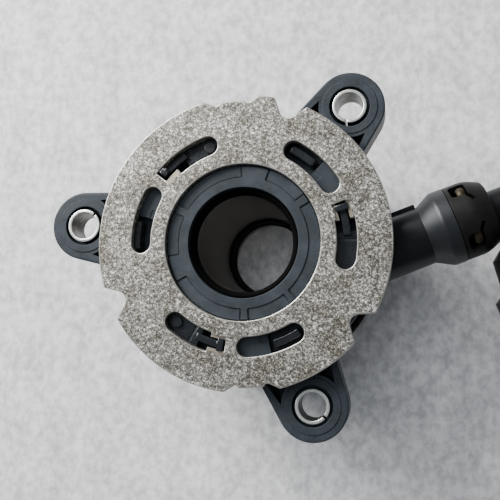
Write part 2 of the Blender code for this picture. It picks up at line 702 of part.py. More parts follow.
def slot_shapes():
    """Returns what stands under the plate's slots: pockets, pegs, snap arms, blocks and bars."""
    pockets = []
    raised = []
    reach = SLOT_WIDTH + 2 * POCKET_MARGIN
    for index, (start, end) in enumerate(keyed_slots()):
        number = index + 1
        arm_start = end - ARM_SWEEP
        pockets.append(slab(f"cut_arm_pocket_{number}",
                            [sector(SLOT_RADIUS, reach, arm_start, end + POCKET_LAP)],
                            POCKET_FLOOR, FLANGE_TOP + PAST))
        seam = start + SEAM_SHIFT
        pockets.append(slab(f"cut_seam_{number}", [sector(SLOT_RADIUS, reach, seam, seam + SEAM_SWEEP)],
                            FLANGE_TOP - BLOCK_DROP, FLANGE_TOP + PAST))
        peg = [circle(PEG_RADIUS, SMALL, polar(SLOT_RADIUS, start))]
        raised.append(slab(f"add_peg_{number}", peg, FLANGE_TOP - PAST, FLANGE_TOP + PEG_RISE))
        arm_end = end - ARM_END_GAP
        arm = [sector(SLOT_RADIUS, ARM_WIDTH, arm_start - ARM_ROOT, arm_end)]
        arm_bottom = POCKET_FLOOR + ARM_UNDERCUT
        raised.append(slab(f"add_arm_{number}", arm, arm_bottom, FLANGE_TOP - BAR_DROP))
        tip_start = arm_end - ARM_TIP_LENGTH / SLOT_RADIUS
        barb_bottom = FACE_HEIGHT - LEDGE_DROP + FIT
        neck = [sector(SLOT_RADIUS, BARB_NECK_WIDTH, tip_start + ARM_STEP, arm_end - ARM_STEP)]
        raised.append(slab(f"add_tip_{number}", neck, arm_bottom + ARM_UNDERCUT,
                           barb_bottom + BARB_THICKNESS / 2))
        barb = [sector(SLOT_RADIUS, BARB_WIDTH, tip_start, arm_end)]
        raised.append(slab(f"add_barb_{number}", barb, barb_bottom, barb_bottom + BARB_THICKNESS))
    for index, (start, end) in enumerate(plain_slots()):
        number = index + 1
        block_end = start + BLOCK_SWEEP
        pockets.append(slab(f"cut_bar_pocket_{number}",
                            [sector(SLOT_RADIUS, reach, block_end, end + BAR_POCKET_END)],
                            POCKET_FLOOR, FLANGE_TOP + PAST))
        notch_radius = SLOT_RADIUS - reach / 2 + BLOCK_NOTCH / 2
        notch = sector(notch_radius, BLOCK_NOTCH, block_end - BLOCK_NOTCH_SWEEP, block_end + POCKET_LAP)
        pockets.append(slab(f"cut_block_step_{number}", [notch], FLANGE_TOP - BLOCK_DROP, FLANGE_TOP + PAST))
        bar_start = block_end + BAR_GAP
        bar = [sector(SLOT_RADIUS + BAR_SHIFTS[index], BAR_WIDTH, bar_start, bar_start + BAR_SWEEP)]
        raised.append(slab(f"add_bar_{number}", bar, POCKET_FLOOR - PAST, FLANGE_TOP - BAR_DROP))
    return pockets, raised


def neck_shape():
    """Returns the port's neck, its bulge and the spigot that carries the collar."""
    profile = [(0, NECK_SPIGOT_END), (NECK_SPIGOT_RADIUS, NECK_SPIGOT_END, NECK_SPIGOT_EDGE),
               (NECK_SPIGOT_RADIUS, BULGE_END), (BULGE_RADIUS, BULGE_END, BULGE_EDGE),
               (BULGE_RADIUS, CONE_END, BULGE_SHOULDER_EDGE), (NECK_RADIUS, CONE_START, CONE_FILLET),
               (NECK_RADIUS, NECK_ROOT), (0, NECK_ROOT)]
    return turned("add_neck", profile, COARSE, closed=False, place=port_place())


def make_housing(look):
    """The moulded cylinder housing: hub, flange, ears, chamber and tangential port."""
    blank = [(0, HUB_TOP), (HUB_RADIUS, HUB_TOP, HUB_EDGE), (HUB_RADIUS, FLANGE_TOP),
             (FLANGE_RADIUS, FLANGE_TOP), (FLANGE_RADIUS, FLANGE_BOTTOM, FLANGE_EDGE),
             (SHOULDER_RADIUS, FLANGE_BOTTOM, SHOULDER_FILLET),
             (SHOULDER_RADIUS, SHOULDER_BOTTOM, SHOULDER_EDGE), (CYLINDER_OUTER, SHOULDER_BOTTOM),
             (CYLINDER_OUTER, CYLINDER_BOTTOM, CYLINDER_EDGE), (0, CYLINDER_BOTTOM)]
    housing = turned("cylinder_housing", blank, FINE, closed=False)
    groove_top = FACE_HEIGHT - O_RING_GROOVE_DROP
    groove_bottom = groove_top - O_RING_GROOVE_HEIGHT
    groove_radius = TUBE_HOLE + O_RING_GROOVE_DEPTH
    void = [(0, HUB_TOP + PAST), (RIM_RADIUS + RIM_EDGE + PAST, HUB_TOP + PAST),
            (RIM_RADIUS, HUB_TOP - RIM_EDGE), (RIM_RADIUS, STEP_HEIGHT),
            (TUBE_HOLE, STEP_HEIGHT), (TUBE_HOLE, groove_top), (groove_radius, groove_top),
            (groove_radius, groove_bottom), (TUBE_HOLE, groove_bottom), (TUBE_HOLE, CHAMBER_TOP),
            (CYLINDER_BORE, CHAMBER_TOP, CHAMBER_CORNER), (CYLINDER_BORE, CYLINDER_BOTTOM - PAST),
            (0, CYLINDER_BOTTOM - PAST)]
    ear_cutters = []
    for index, angle in enumerate(EAR_ANGLES):
        solids, cutters = ear_shapes(index, angle)
        join(housing, *solids)
        ear_cutters += cutters
    join(housing, neck_shape())
    cut(housing, turned("cut_void", void, FINE, closed=False))
    cut(housing, *ear_cutters)
    pockets, raised = slot_shapes()
    cut(housing, *pockets)
    join(housing, *raised)
    for index, (start, end) in enumerate(PAD_SPANS):
        width = HUB_RADIUS + PAST - PAD_INNER_RADIUS
        pad = [sector(PAD_INNER_RADIUS + width / 2, width, start, end)]
        cut(housing, slab(f"cut_pad_{index + 1}", pad, HUB_TOP - PAD_DEPTH, HUB_TOP + PAST))
    socket = [(0, NECK_SPIGOT_END + PAST), (SOCKET_RADIUS, NECK_SPIGOT_END + PAST),
              (SOCKET_RADIUS, SOCKET_START), (CHANNEL_RADIUS, SOCKET_START),
              (CHANNEL_RADIUS, CHANNEL_END), (0, CHANNEL_END)]
    cut(housing, turned("cut_socket", socket, SMALL, closed=False, place=port_place()))
    return finish(housing, look)


def make_sleeves(look):
    """The three rolled steel sleeves that line the ears' bolt holes."""
    top = EAR_TOP + EAR_FACE_RISE + SLEEVE_PROUD
    for index, (angle, split) in enumerate(zip(EAR_ANGLES, SLEEVE_SPLIT_ANGLES)):
        centre = polar(EAR_PITCH_RADIUS, angle)
        inner = SLEEVE_OUTER - SLEEVE_WALL
        half = SLEEVE_SPLIT / 2 / SLEEVE_OUTER
        start = split + half
        end = split + 2 * pi - half
        outline = (arc(SLEEVE_OUTER, start, end, SLEEVE_STEP, centre)
                   + arc(inner, end, start, SLEEVE_STEP, centre))
        sleeve = slab(f"ear_sleeve_{index + 1}", [outline], top - SLEEVE_LENGTH, top)
        finish(sleeve, look)


def make_collar(look):
    """The connector collar on the port's neck, with four windows for the wire clip."""
    start = BULGE_END + FIT
    inner = NECK_SPIGOT_RADIUS + FIT
    hole = SOCKET_RADIUS
    floor = COLLAR_END - COLLAR_END_WALL
    groove = CLIP_WIRE + FIT
    profile = [(hole, COLLAR_END), (COLLAR_RADIUS, COLLAR_END, COLLAR_EDGE),
               (COLLAR_RADIUS, start, COLLAR_BACK_EDGE),
               (inner, start), (inner, CLIP_STATION - groove), (CLIP_GROOVE_RADIUS, CLIP_STATION - groove),
               (CLIP_GROOVE_RADIUS, CLIP_STATION + groove), (inner, CLIP_STATION + groove),
               (inner, floor), (hole, floor)]
    collar = turned("port_collar", profile, place=port_place())
    for index in range(4):
        turn = port_place(CLIP_STATION) @ Matrix.Rotation(window_turn(index), 4, "Z")
        middle = (inner + COLLAR_RADIUS) / 2
        depth = COLLAR_RADIUS - inner + 2 * PAST
        window = block(f"cut_window_{index + 1}", (depth, COLLAR_WINDOW_WIDTH, COLLAR_WINDOW_LENGTH),
                       turn @ Matrix.Translation((middle, 0, 0)))
        lean = Matrix.Rotation((COLLAR_WINDOW_WIDTH + COLLAR_TAIL_WIDTH) / 2 / COLLAR_RADIUS, 4, "Z")
        tail_along = COLLAR_WINDOW_LENGTH / 2 - COLLAR_TAIL_LENGTH / 2
        tail = block(f"cut_tail_{index + 1}", (depth, COLLAR_TAIL_WIDTH, COLLAR_TAIL_LENGTH),
                     turn @ lean @ Matrix.Translation((middle, 0, tail_along)))
        cut(collar, window, tail)
    return finish(collar, look)


def window_turn(index):
    """Returns the turn of a collar window round the port's axis, from the level side."""
    return pi / 2 - CLIP_TURN + index * pi / 2


def make_clip(look):
    """The square wire clip: its corners show in the collar's windows, its sides hold the elbow."""
    reach = CLIP_CORNER_RADIUS - CLIP_BEND_RADIUS
    points = []
    for index in range(4):
        angle = window_turn(index)
        centre = polar(reach, angle)
        points += arc(CLIP_BEND_RADIUS, angle - pi / 4, angle + pi / 4, CLIP_STEP, centre)
    first = Vector(points[0])
    last = Vector(points[-1])
    along = (first - last).normalized()
    middle = (first + last) / 2
    path = [middle + along * CLIP_GAP / 2] + points + [middle - along * CLIP_GAP / 2]
    path = [(point[0], point[1], 0) for point in path]
    return finish(wire("line_clip", path, CLIP_WIRE, place=port_place(CLIP_STATION)), look)


def make_elbow(look):
    """The plastic elbow that plugs into the port and turns the line towards -Y."""
    groove = ELBOW_RING_SECTION + ELBOW_RING_SLACK
    groove_floor = ELBOW_RING_RADIUS - ELBOW_RING_SECTION - FIT
    ring_top = ELBOW_RING_STATION + groove
    ring_bottom = ELBOW_RING_STATION - groove
    flange_end = ELBOW_FLANGE_START + ELBOW_FLANGE_WIDTH
    profile = [(0, ELBOW_STATION), (ELBOW_SPIGOT_RADIUS, ELBOW_STATION),
               (ELBOW_SPIGOT_RADIUS, flange_end), (ELBOW_FLANGE_RADIUS, flange_end),
               (ELBOW_FLANGE_RADIUS, ELBOW_FLANGE_START), (ELBOW_SPIGOT_RADIUS, ELBOW_FLANGE_START),
               (ELBOW_SPIGOT_RADIUS, ring_top), (groove_floor, ring_top), (groove_floor, ring_bottom),
               (ELBOW_SPIGOT_RADIUS, ring_bottom),
               (ELBOW_SPIGOT_RADIUS, ELBOW_SPIGOT_START, ELBOW_SPIGOT_EDGE),
               (0, ELBOW_SPIGOT_START)]
    elbow = turned("line_elbow", profile, COARSE, closed=False, place=port_place())
    leg_place = Matrix.Translation(AXIS + ELBOW_CORNER) @ Matrix.Rotation(-pi / 2, 4, "X")
    leg = [(0, ELBOW_NECK)]
    leg += [(ELBOW_NECK * sin(a), ELBOW_NECK * cos(a)) for a in CORNER_STEPS]
    leg += [(ELBOW_NECK, 0), (ELBOW_NECK, -ELBOW_HEAD)]
    for centre, radius, before, after in RIDGES:
        leg += [(ELBOW_RADIUS, -(centre - before)), (radius, -centre), (ELBOW_RADIUS, -(centre + after))]
    leg += [(ELBOW_RADIUS, -ELBOW_LEG, ELBOW_END_EDGE), (0, -ELBOW_LEG)]
    join(elbow, turned("add_leg", leg, COARSE, closed=False, place=leg_place))
    bore = [(0, CHANNEL_RADIUS), (CHANNEL_RADIUS, 0), (CHANNEL_RADIUS, -ELBOW_LEG - PAST),
            (0, -ELBOW_LEG - PAST)]
    seam_turn = Matrix.Rotation(SEAM_TURN, 4, "Z")
    cut(elbow, turned("cut_leg_bore", bore, SMALL, closed=False, place=leg_place @ seam_turn))
    inlet = [(0, ELBOW_STATION), (CHANNEL_RADIUS, ELBOW_STATION),
             (CHANNEL_RADIUS, ELBOW_SPIGOT_START - PAST), (0, ELBOW_SPIGOT_START - PAST)]
    cut(elbow, turned("cut_spigot_bore", inlet, SMALL, closed=False, place=port_place() @ seam_turn))
    return finish(elbow, look)


def ring_profile(centre_radius, height, section):
    """Returns a round section, outer side first from the top down."""
    angles = [pi / 2 - 2 * pi * index / SECTION_STEPS for index in range(SECTION_STEPS)]
    return [(centre_radius + section * cos(a), height + section * sin(a)) for a in angles]


def make_tube_group(steel, rubber, plastic):
    """The guide tube with its flange, its O-ring, its retainer and the shaft's wiper."""
    flange_bottom = TUBE_TOP - TUBE_WALL
    tube = [(TUBE_INNER, TUBE_TOP), (TUBE_FLANGE_RADIUS, TUBE_TOP), (TUBE_FLANGE_RADIUS, flange_bottom),
            (TUBE_OUTER, flange_bottom), (TUBE_OUTER, TUBE_BOTTOM), (TUBE_INNER, TUBE_BOTTOM)]
    finish(turned("guide_tube", tube, PLAIN), steel)
    height = FACE_HEIGHT - O_RING_GROOVE_DROP - O_RING_GROOVE_HEIGHT / 2
    radius = TUBE_OUTER + FIT + O_RING_SECTION
    finish(turned("tube_o_ring", ring_profile(radius, height, O_RING_SECTION), PLAIN), rubber)
    low = TUBE_TOP + FIT
    high = low + RETAINER_HEIGHT
    outer = RIM_RADIUS - FIT
    retainer = [(RETAINER_INNER, high), (outer, high, RETAINER_EDGE), (outer, low), (RETAINER_INNER, low)]
    finish(turned("tube_retainer", retainer, PLAIN), plastic)
    bottom = TUBE_BOTTOM + FIT
    outer = TUBE_INNER - FIT
    top = bottom + WIPER_HEIGHT
    wiper = [(outer - WIPER_WALL, top), (outer, top), (outer, bottom), (WIPER_LIP_RADIUS, bottom),
             (WIPER_LIP_RADIUS, bottom + WIPER_LIP), (outer - WIPER_WALL, bottom + WIPER_LIP)]
    finish(turned("shaft_wiper", wiper, PLAIN), rubber)


def make_piston_group(plastic, rubber):
    """The ring-shaped piston and the lipped seal that rides on it."""
    inner = TUBE_OUTER + FIT
    outer = CYLINDER_BORE - FIT
    piston = [(inner, PISTON_TOP), (outer, PISTON_TOP, PISTON_EDGE), (outer, PISTON_FLANGE_TOP),
              (PISTON_FLANGE_RADIUS, PISTON_FLANGE_TOP), (PISTON_FLANGE_RADIUS, PISTON_BOTTOM),
              (inner, PISTON_BOTTOM)]
    finish(turned("annular_piston", piston), plastic)
    top = SEAL_BOTTOM + SEAL_HEIGHT
    root = top - SEAL_GROOVE
    seal = [(outer - SEAL_LIP, top), (outer, top), (outer, SEAL_BOTTOM), (inner, SEAL_BOTTOM),
            (inner, top), (inner + SEAL_LIP, top), (inner + SEAL_LIP_ROOT, root),
            (outer - SEAL_LIP_ROOT, root)]
    finish(turned("piston_seal", seal), rubber)


def make_carrier(look):
    """The carrier cup: seat of the piston and the spring, with a skirt round the bearing."""
    under = CARRIER_TOP - CARRIER_THICKNESS
    groove_top = OUTER_RACE_BOTTOM
    groove_bottom = groove_top - 2 * (SNAP_WIRE + FIT)
    groove_radius = SKIRT_INNER + SNAP_WIRE + FIT
    lip_inner = CARRIER_LIP_RADIUS - CARRIER_LIP_WALL
    carrier = [(CARRIER_BORE, CARRIER_TOP), (lip_inner, CARRIER_TOP), (lip_inner, CARRIER_LIP_TOP),
               (CARRIER_LIP_RADIUS, CARRIER_LIP_TOP), (CARRIER_LIP_RADIUS, under, CARRIER_EDGE),
               (SKIRT_OUTER, under), (SKIRT_OUTER, CARRIER_SKIRT_BOTTOM),
               (SKIRT_INNER, CARRIER_SKIRT_BOTTOM), (SKIRT_INNER, groove_bottom),
               (groove_radius, groove_bottom), (groove_radius, groove_top), (SKIRT_INNER, groove_top),
               (SKIRT_INNER, under), (CARRIER_BORE, under)]
    finish(turned("bearing_carrier", carrier), look)


def groove_arc(radius, side):
    """Returns the raceway round the balls, on one side of them, from the top down."""
    reach = BALL_RADIUS + FIT
    land = abs(radius - BALL_PITCH)
    half = acos(land / reach)
    angles = [half - 2 * half * index / GROOVE_STEPS for index in range(GROOVE_STEPS + 1)]
    return [(BALL_PITCH + side * reach * cos(a), BALL_HEIGHT + reach * sin(a)) for a in angles]


def make_bearing(steel, cage_look, rubber, wire_look):
    """The ball bearing: rings with raceways, balls, cage, two shields and the snap ring."""
    outer = [(OUTER_LAND_RADIUS, RACE_TOP), (OUTER_RACE_RADIUS, RACE_TOP, OUTER_RACE_EDGE),
             (OUTER_RACE_RADIUS, OUTER_RACE_BOTTOM, OUTER_RACE_EDGE),
             (OUTER_LAND_RADIUS, OUTER_RACE_BOTTOM)]
    outer += list(reversed(groove_arc(OUTER_LAND_RADIUS, 1)))
    finish(turned("bearing_outer_ring", outer), steel)
    flat = CONTACT_THICKNESS - CONTACT_CROWN
    top = RACE_TOP - FIT
    inner = [(INNER_BORE, top), (INNER_LAND_RADIUS, top)] + groove_arc(INNER_LAND_RADIUS, -1)
    inner += [(INNER_LAND_RADIUS, CONTACT_THICKNESS), (CONTACT_RADIUS, CONTACT_THICKNESS),
              (CONTACT_RADIUS, CONTACT_THICKNESS - flat / 2), (CONTACT_RADIUS - CONTACT_THICKNESS, 0),
              (INNER_BORE + CONTACT_CROWN, 0), (INNER_BORE, CONTACT_CROWN)]
    finish(turned("bearing_inner_ring", inner), steel)
    make_balls(steel)
    cage = [(BALL_PITCH - CAGE_WALL / 2, BALL_HEIGHT + CAGE_HEIGHT / 2),
            (BALL_PITCH + CAGE_WALL / 2, BALL_HEIGHT + CAGE_HEIGHT / 2),
            (BALL_PITCH + CAGE_WALL / 2, BALL_HEIGHT - CAGE_HEIGHT / 2),
            (BALL_PITCH - CAGE_WALL / 2, BALL_HEIGHT - CAGE_HEIGHT / 2)]
    cage = turned("ball_cage", cage, 2 * BALL_COUNT)
    for index in range(BALL_COUNT):
        cut(cage, ball_pocket(index))
    finish(cage, cage_look)
    inner_edge = INNER_LAND_RADIUS + FIT
    outer_edge = OUTER_LAND_RADIUS - FIT
    for name, high in (("upper_shield", RACE_TOP - FIT), ("lower_shield", OUTER_RACE_BOTTOM + 2 * FIT)):
        shield = [(inner_edge, high), (outer_edge, high), (outer_edge, high - SHIELD_THICKNESS),
                  (inner_edge, high - SHIELD_THICKNESS)]
        finish(turned(name, shield), rubber)
    radius = SKIRT_INNER - FIT
    height = OUTER_RACE_BOTTOM - FIT - SNAP_WIRE
    points = [(x, y, height) for x, y in arc(radius, SNAP_GAP / 2, 2 * pi - SNAP_GAP / 2, SNAP_STEP)]
    finish(wire("snap_ring", points, SNAP_WIRE), wire_look)


def ball_place(index):
    """Returns a ball's place in the bearing."""
    angle = 2 * pi * index / BALL_COUNT
    x, y = polar(BALL_PITCH, angle)
    return Matrix.Translation(AXIS + Vector((x, y, BALL_HEIGHT))) @ Matrix.Rotation(angle, 4, "Z")


def ball_pocket(index):
    """Returns a round cutter across the cage at one ball."""
    mesh = bpy.data.meshes.new(f"cut_cage_{index + 1}")
    work = bmesh.new()
    radius = BALL_RADIUS + FIT
    turn = Matrix.Rotation(pi / 2, 4, "Y")
    bmesh.ops.create_cone(work, cap_ends=True, segments=SMALL, radius1=radius, radius2=radius,
                          depth=CAGE_WALL + 4 * PAST, matrix=turn)
    work.to_mesh(mesh)
    work.free()
    item = bpy.data.objects.new(mesh.name, mesh)
    item.matrix_world = ball_place(index)
    PARTS.objects.link(item)
    return item


def make_balls(look):
    """The bearing's balls, which share one mesh."""
    mesh = bpy.data.meshes.new("ball")
    work = bmesh.new()
    bmesh.ops.create_uvsphere(work, u_segments=BALL_SEGMENTS, v_segments=BALL_RINGS, radius=BALL_RADIUS)
    work.to_mesh(mesh)
    work.free()
    for index in range(BALL_COUNT):
        ball = bpy.data.objects.new(f"ball_{index + 1:02d}", mesh)
        ball.matrix_world = ball_place(index)
        PARTS.objects.link(ball)
        finish(ball, look)


def make_spring(look):
    """The conical preload spring between the carrier and the housing's shoulder."""
    low = CARRIER_TOP + FIT + SPRING_WIRE
    high = SHOULDER_BOTTOM - FIT - SPRING_WIRE
    count = round(SPRING_TURNS * SPRING_POINTS_PER_TURN)
    points = []
    for index in range(count + 1):
        turns = SPRING_TURNS * index / count
        share = (turns - SPRING_FLAT_TURNS) / (SPRING_TURNS - 2 * SPRING_FLAT_TURNS)
        share = max(0.0, min(1.0, share))
        radius = SPRING_BOTTOM_RADIUS + (SPRING_TOP_RADIUS - SPRING_BOTTOM_RADIUS) * turns / SPRING_TURNS
        x, y = polar(radius, 2 * pi * turns)
        points.append((x, y, low + (high - low) * share))
    finish(wire("preload_spring", points, SPRING_WIRE), look, WIRE_SMOOTH_ANGLE)


def make_elbow_ring(look):
    """The O-ring on the elbow's spigot."""
    profile = ring_profile(ELBOW_RING_RADIUS, ELBOW_RING_STATION, ELBOW_RING_SECTION)
    finish(turned("elbow_o_ring", profile, COARSE, place=port_place()), look)


def build():
    """Makes every piece of the release bearing."""
    plastic = material("black_moulded_plastic", (0.045, 0.052, 0.060), 0.45)
    dark_plastic = material("matt_black_plastic", (0.016, 0.016, 0.017), 0.6)
    zinc = material("zinc_flake_steel", (0.60, 0.57, 0.53), 0.42, 0.85)
    bright = material("bright_zinc_sleeve", (0.80, 0.82, 0.80), 0.25, 1.0)
    tube_steel = material("dark_tube_steel", (0.22, 0.20, 0.18), 0.38, 0.9)
    bearing_steel = material("ground_bearing_steel", (0.62, 0.62, 0.63), 0.22, 1.0)
    spring_steel = material("oiled_spring_steel", (0.20, 0.20, 0.21), 0.35, 1.0)
    brass = material("copper_clip_wire", (0.62, 0.44, 0.25), 0.3, 1.0)
    rubber = material("black_rubber", (0.012, 0.012, 0.012), 0.75)
    nylon = material("cage_nylon", (0.55, 0.50, 0.38), 0.5)

    make_housing(plastic)
    make_plate(zinc)
    make_sleeves(bright)
    make_tube_group(tube_steel, rubber, dark_plastic)
    make_piston_group(dark_plastic, rubber)
    make_carrier(dark_plastic)
    make_bearing(bearing_steel, nylon, rubber, spring_steel)
    make_spring(spring_steel)
    make_collar(dark_plastic)
    make_clip(brass)
    make_elbow(dark_plastic)
    make_elbow_ring(rubber)


clear_scene()
PARTS = make_collection("clutch_release_bearing")
CUTTERS = make_collection("cutters")
build()
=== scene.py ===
"""Hydraulic clutch release bearing, dressed for a studio picture at the photograph's viewing angle.

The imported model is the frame: it gives the bearing's axis, the port's axis and every body that moves.
Lengths are in metres. Heights count from the bearing's contact face, with the gearbox side up.
"""
import json
import logging
from collections.abc import Callable, Iterator, Sequence
from contextlib import contextmanager
from dataclasses import dataclass
from enum import Enum
from math import acos, asin, atan2, cos, pi, radians, sin, sqrt, tan
from typing import Any, NamedTuple

import bpy
from mathutils import Matrix, Vector


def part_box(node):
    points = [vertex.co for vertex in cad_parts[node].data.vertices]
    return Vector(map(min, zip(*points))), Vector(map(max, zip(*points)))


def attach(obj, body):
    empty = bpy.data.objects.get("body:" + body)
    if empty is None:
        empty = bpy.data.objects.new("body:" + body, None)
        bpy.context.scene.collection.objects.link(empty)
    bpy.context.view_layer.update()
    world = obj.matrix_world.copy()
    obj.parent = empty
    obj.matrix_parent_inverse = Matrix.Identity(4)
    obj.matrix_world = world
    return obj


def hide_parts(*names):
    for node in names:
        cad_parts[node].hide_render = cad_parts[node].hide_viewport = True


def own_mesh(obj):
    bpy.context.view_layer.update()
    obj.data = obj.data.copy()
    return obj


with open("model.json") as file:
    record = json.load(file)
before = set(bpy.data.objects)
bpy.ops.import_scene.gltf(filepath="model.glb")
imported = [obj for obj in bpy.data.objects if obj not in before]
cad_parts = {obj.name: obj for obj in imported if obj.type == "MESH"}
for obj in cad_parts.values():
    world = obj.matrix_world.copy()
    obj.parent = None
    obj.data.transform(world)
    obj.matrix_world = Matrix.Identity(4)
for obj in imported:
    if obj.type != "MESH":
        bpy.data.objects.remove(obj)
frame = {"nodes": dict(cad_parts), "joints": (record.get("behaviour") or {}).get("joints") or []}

LOG = logging.getLogger("release_bearing")
ROUND_STEPS = 160
BENT_STEPS = 16
CORNER_STEPS = 4
MERGE = 0.000002
PAST = 0.001
BEVEL_ANGLE = radians(32)
SMOOTH_ANGLE = radians(38)

Item = bpy.types.Object
Point = tuple[float, float]
Triple = tuple[float, float, float]
Outline = Sequence[Sequence[float]]


class Body(Enum):
    """The bodies that the pieces made here ride on."""

    HOUSING = "housing"
    PISTON = "release_piston"
    CONTACT = "contact_ring"
    LINE = "line_end"


class Slot(Enum):
    """Names of the record's material slots, passed along with the pieces made here; nothing assigns them."""

    MOULDED = "moulded_plastic"
    DARK = "dark_plastic"
    PLATE = "plate_steel"
    SLEEVE = "sleeve_steel"
    TUBE = "tube_steel"
    BEARING = "bearing_steel"
    SPRING = "spring_steel"
    CLIP = "clip_wire"
    RUBBER = "seal_rubber"


class Corner(NamedTuple):
    """A corner of a turned outline, with the radius that rounds it."""

    radius: float
    height: float
    round: float = 0.0


@dataclass(frozen=True)
class Signal:
    """A shader socket's value, which takes part in sums as a number would."""

    shader: "Shader"
    socket: bpy.types.NodeSocket

    def _sum(self, operation: str, first: Any, second: Any) -> "Signal":
        """Returns what one Math node makes of two values or signals."""
        return self.shader.node("ShaderNodeMath", {"operation": operation}, {0: first, 1: second})

    def __add__(self, other: Any) -> "Signal":
        """Returns this signal plus another."""
        return self._sum("ADD", self, other)

    def __radd__(self, other: Any) -> "Signal":
        """Returns a number plus this signal."""
        return self._sum("ADD", other, self)

    def __sub__(self, other: Any) -> "Signal":
        """Returns this signal less another."""
        return self._sum("SUBTRACT", self, other)

    def __rsub__(self, other: Any) -> "Signal":
        """Returns a number less this signal."""
        return self._sum("SUBTRACT", other, self)

    def __mul__(self, other: Any) -> "Signal":
        """Returns this signal times another."""
        return self._sum("MULTIPLY", self, other)

    def __rmul__(self, other: Any) -> "Signal":
        """Returns a number times this signal."""
        return self._sum("MULTIPLY", other, self)

    def between(self, low: float, high: float, start: float = 0.0, end: float = 1.0) -> "Signal":
        """Returns the stretch from low to high mapped onto the stretch from start to end, clamped."""
        inputs = {"Value": self, "From Min": low, "From Max": high, "To Min": start, "To Max": end}
        return self.shader.node("ShaderNodeMapRange", {"clamp": True}, inputs)


class Shader:
    """One material's node tree round a Principled surface."""

    def __init__(self, name: str) -> None:
        """Starts a material.

        Args:
            name: the material's name.
        """
        self.material = bpy.data.materials.new(name)
        self.material.use_nodes = True
        self.tree = self.material.node_tree
        self.surface = self.tree.nodes["Principled BSDF"]
        self.place = self.node("ShaderNodeTexCoord", {}, {}, "Object")

    def node(self, kind: str, settings: dict[str, Any], inputs: dict[Any, Any], output: Any = 0) -> Signal:
        """Adds a node.

        Args:
            kind: the node's type.
            settings: what is set on the node itself, such as its operation, or a ramp's stops.
            inputs: values or signals, by socket name or number.
            output: the output that is wanted.

        Returns:
            That output as a signal.
        """
        made = self.tree.nodes.new(kind)
        for key, value in settings.items():
            if key == "stops":
                self._set_stops(made.color_ramp, value)
            else:
                setattr(made, key, value)
        for key, value in inputs.items():
            self.feed(made.inputs[key], value)
        return Signal(self, made.outputs[output])

    @staticmethod
    def _set_stops(ramp: bpy.types.ColorRamp, stops: Sequence[tuple[float, Triple]]) -> None:
        """Sets a ramp's stops.

        Args:
            ramp: the ramp.
            stops: each stop's place and colour.
        """
        while len(ramp.elements) < len(stops):
            ramp.elements.new(1.0)
        for element, (place, colour) in zip(ramp.elements, stops):
            element.position = place
            element.color = (*colour, 1.0)

    def feed(self, socket: bpy.types.NodeSocket, value: Any) -> None:
        """Links a signal to a socket, or sets a value on it.

        Args:
            socket: the socket.
            value: a signal, a number or a colour.
        """
        if isinstance(value, Signal):
            self.tree.links.new(value.socket, socket)
        elif isinstance(value, tuple) and socket.type == "RGBA":
            socket.default_value = (*value, 1.0)
        else:
            socket.default_value = value

    def set(self, **values: Any) -> None:
        """Feeds the surface's sockets, named with underscores for spaces."""
        for key, value in values.items():
            self.feed(self.surface.inputs[key.replace("_", " ")], value)

    def noise(self, grain: float, detail: float, rough: float = 0.5, place: Signal | None = None) -> Signal:
        """Returns soft noise whose lumps are about one grain across."""
        inputs = {"Vector": place or self.place, "Scale": 1 / grain, "Detail": detail, "Roughness": rough}
        return self.node("ShaderNodeTexNoise", {}, inputs)

    def flakes(self, grain: float) -> Signal:
        """Returns flat angular cells of random value, about one grain across."""
        cells = self.node("ShaderNodeTexVoronoi", {}, {"Vector": self.place, "Scale": 1 / grain}, "Color")
        return self.node("ShaderNodeSeparateColor", {}, {"Color": cells})

    def stretched(self, scale: Triple) -> Signal:
        """Returns the piece's coordinates, stretched by a factor along each axis."""
        return self.node("ShaderNodeMapping", {}, {"Vector": self.place, "Scale": scale})

    def ramp(self, value: Signal, stops: Sequence[tuple[float, Triple]]) -> Signal:
        """Returns a colour that follows a value from 0 to 1, by its stops."""
        return self.node("ShaderNodeValToRGB", {"stops": stops}, {"Fac": value})

    def mix(self, share: Any, first: Any, second: Any, blend: str = "MIX") -> Signal:
        """Returns a share of the second colour mixed into the first."""
        settings = {"data_type": "RGBA", "blend_type": blend}
        return self.node("ShaderNodeMix", settings, {0: share, 6: first, 7: second}, 2)

    def bump(self, height: Signal, depth: float, strength: float) -> Signal:
        """Returns a normal that a height field bends, whose 1 is so many metres deep."""
        inputs = {"Height": height, "Distance": depth, "Strength": strength}
        return self.node("ShaderNodeBump", {}, inputs, "Normal")


@dataclass(frozen=True)
class Finish:
    """A surface finish, whose material is made once."""

    name: str

    def material(self) -> bpy.types.Material:
        """Returns the finish's material."""
        found = bpy.data.materials.get(self.name)
        if found is None:
            shader = Shader(self.name)
            self.paint(shader)
            found = shader.material
        return found

    def paint(self, shader: Shader) -> None:
        """Sets the surface of the material that the shader holds."""
        raise NotImplementedError


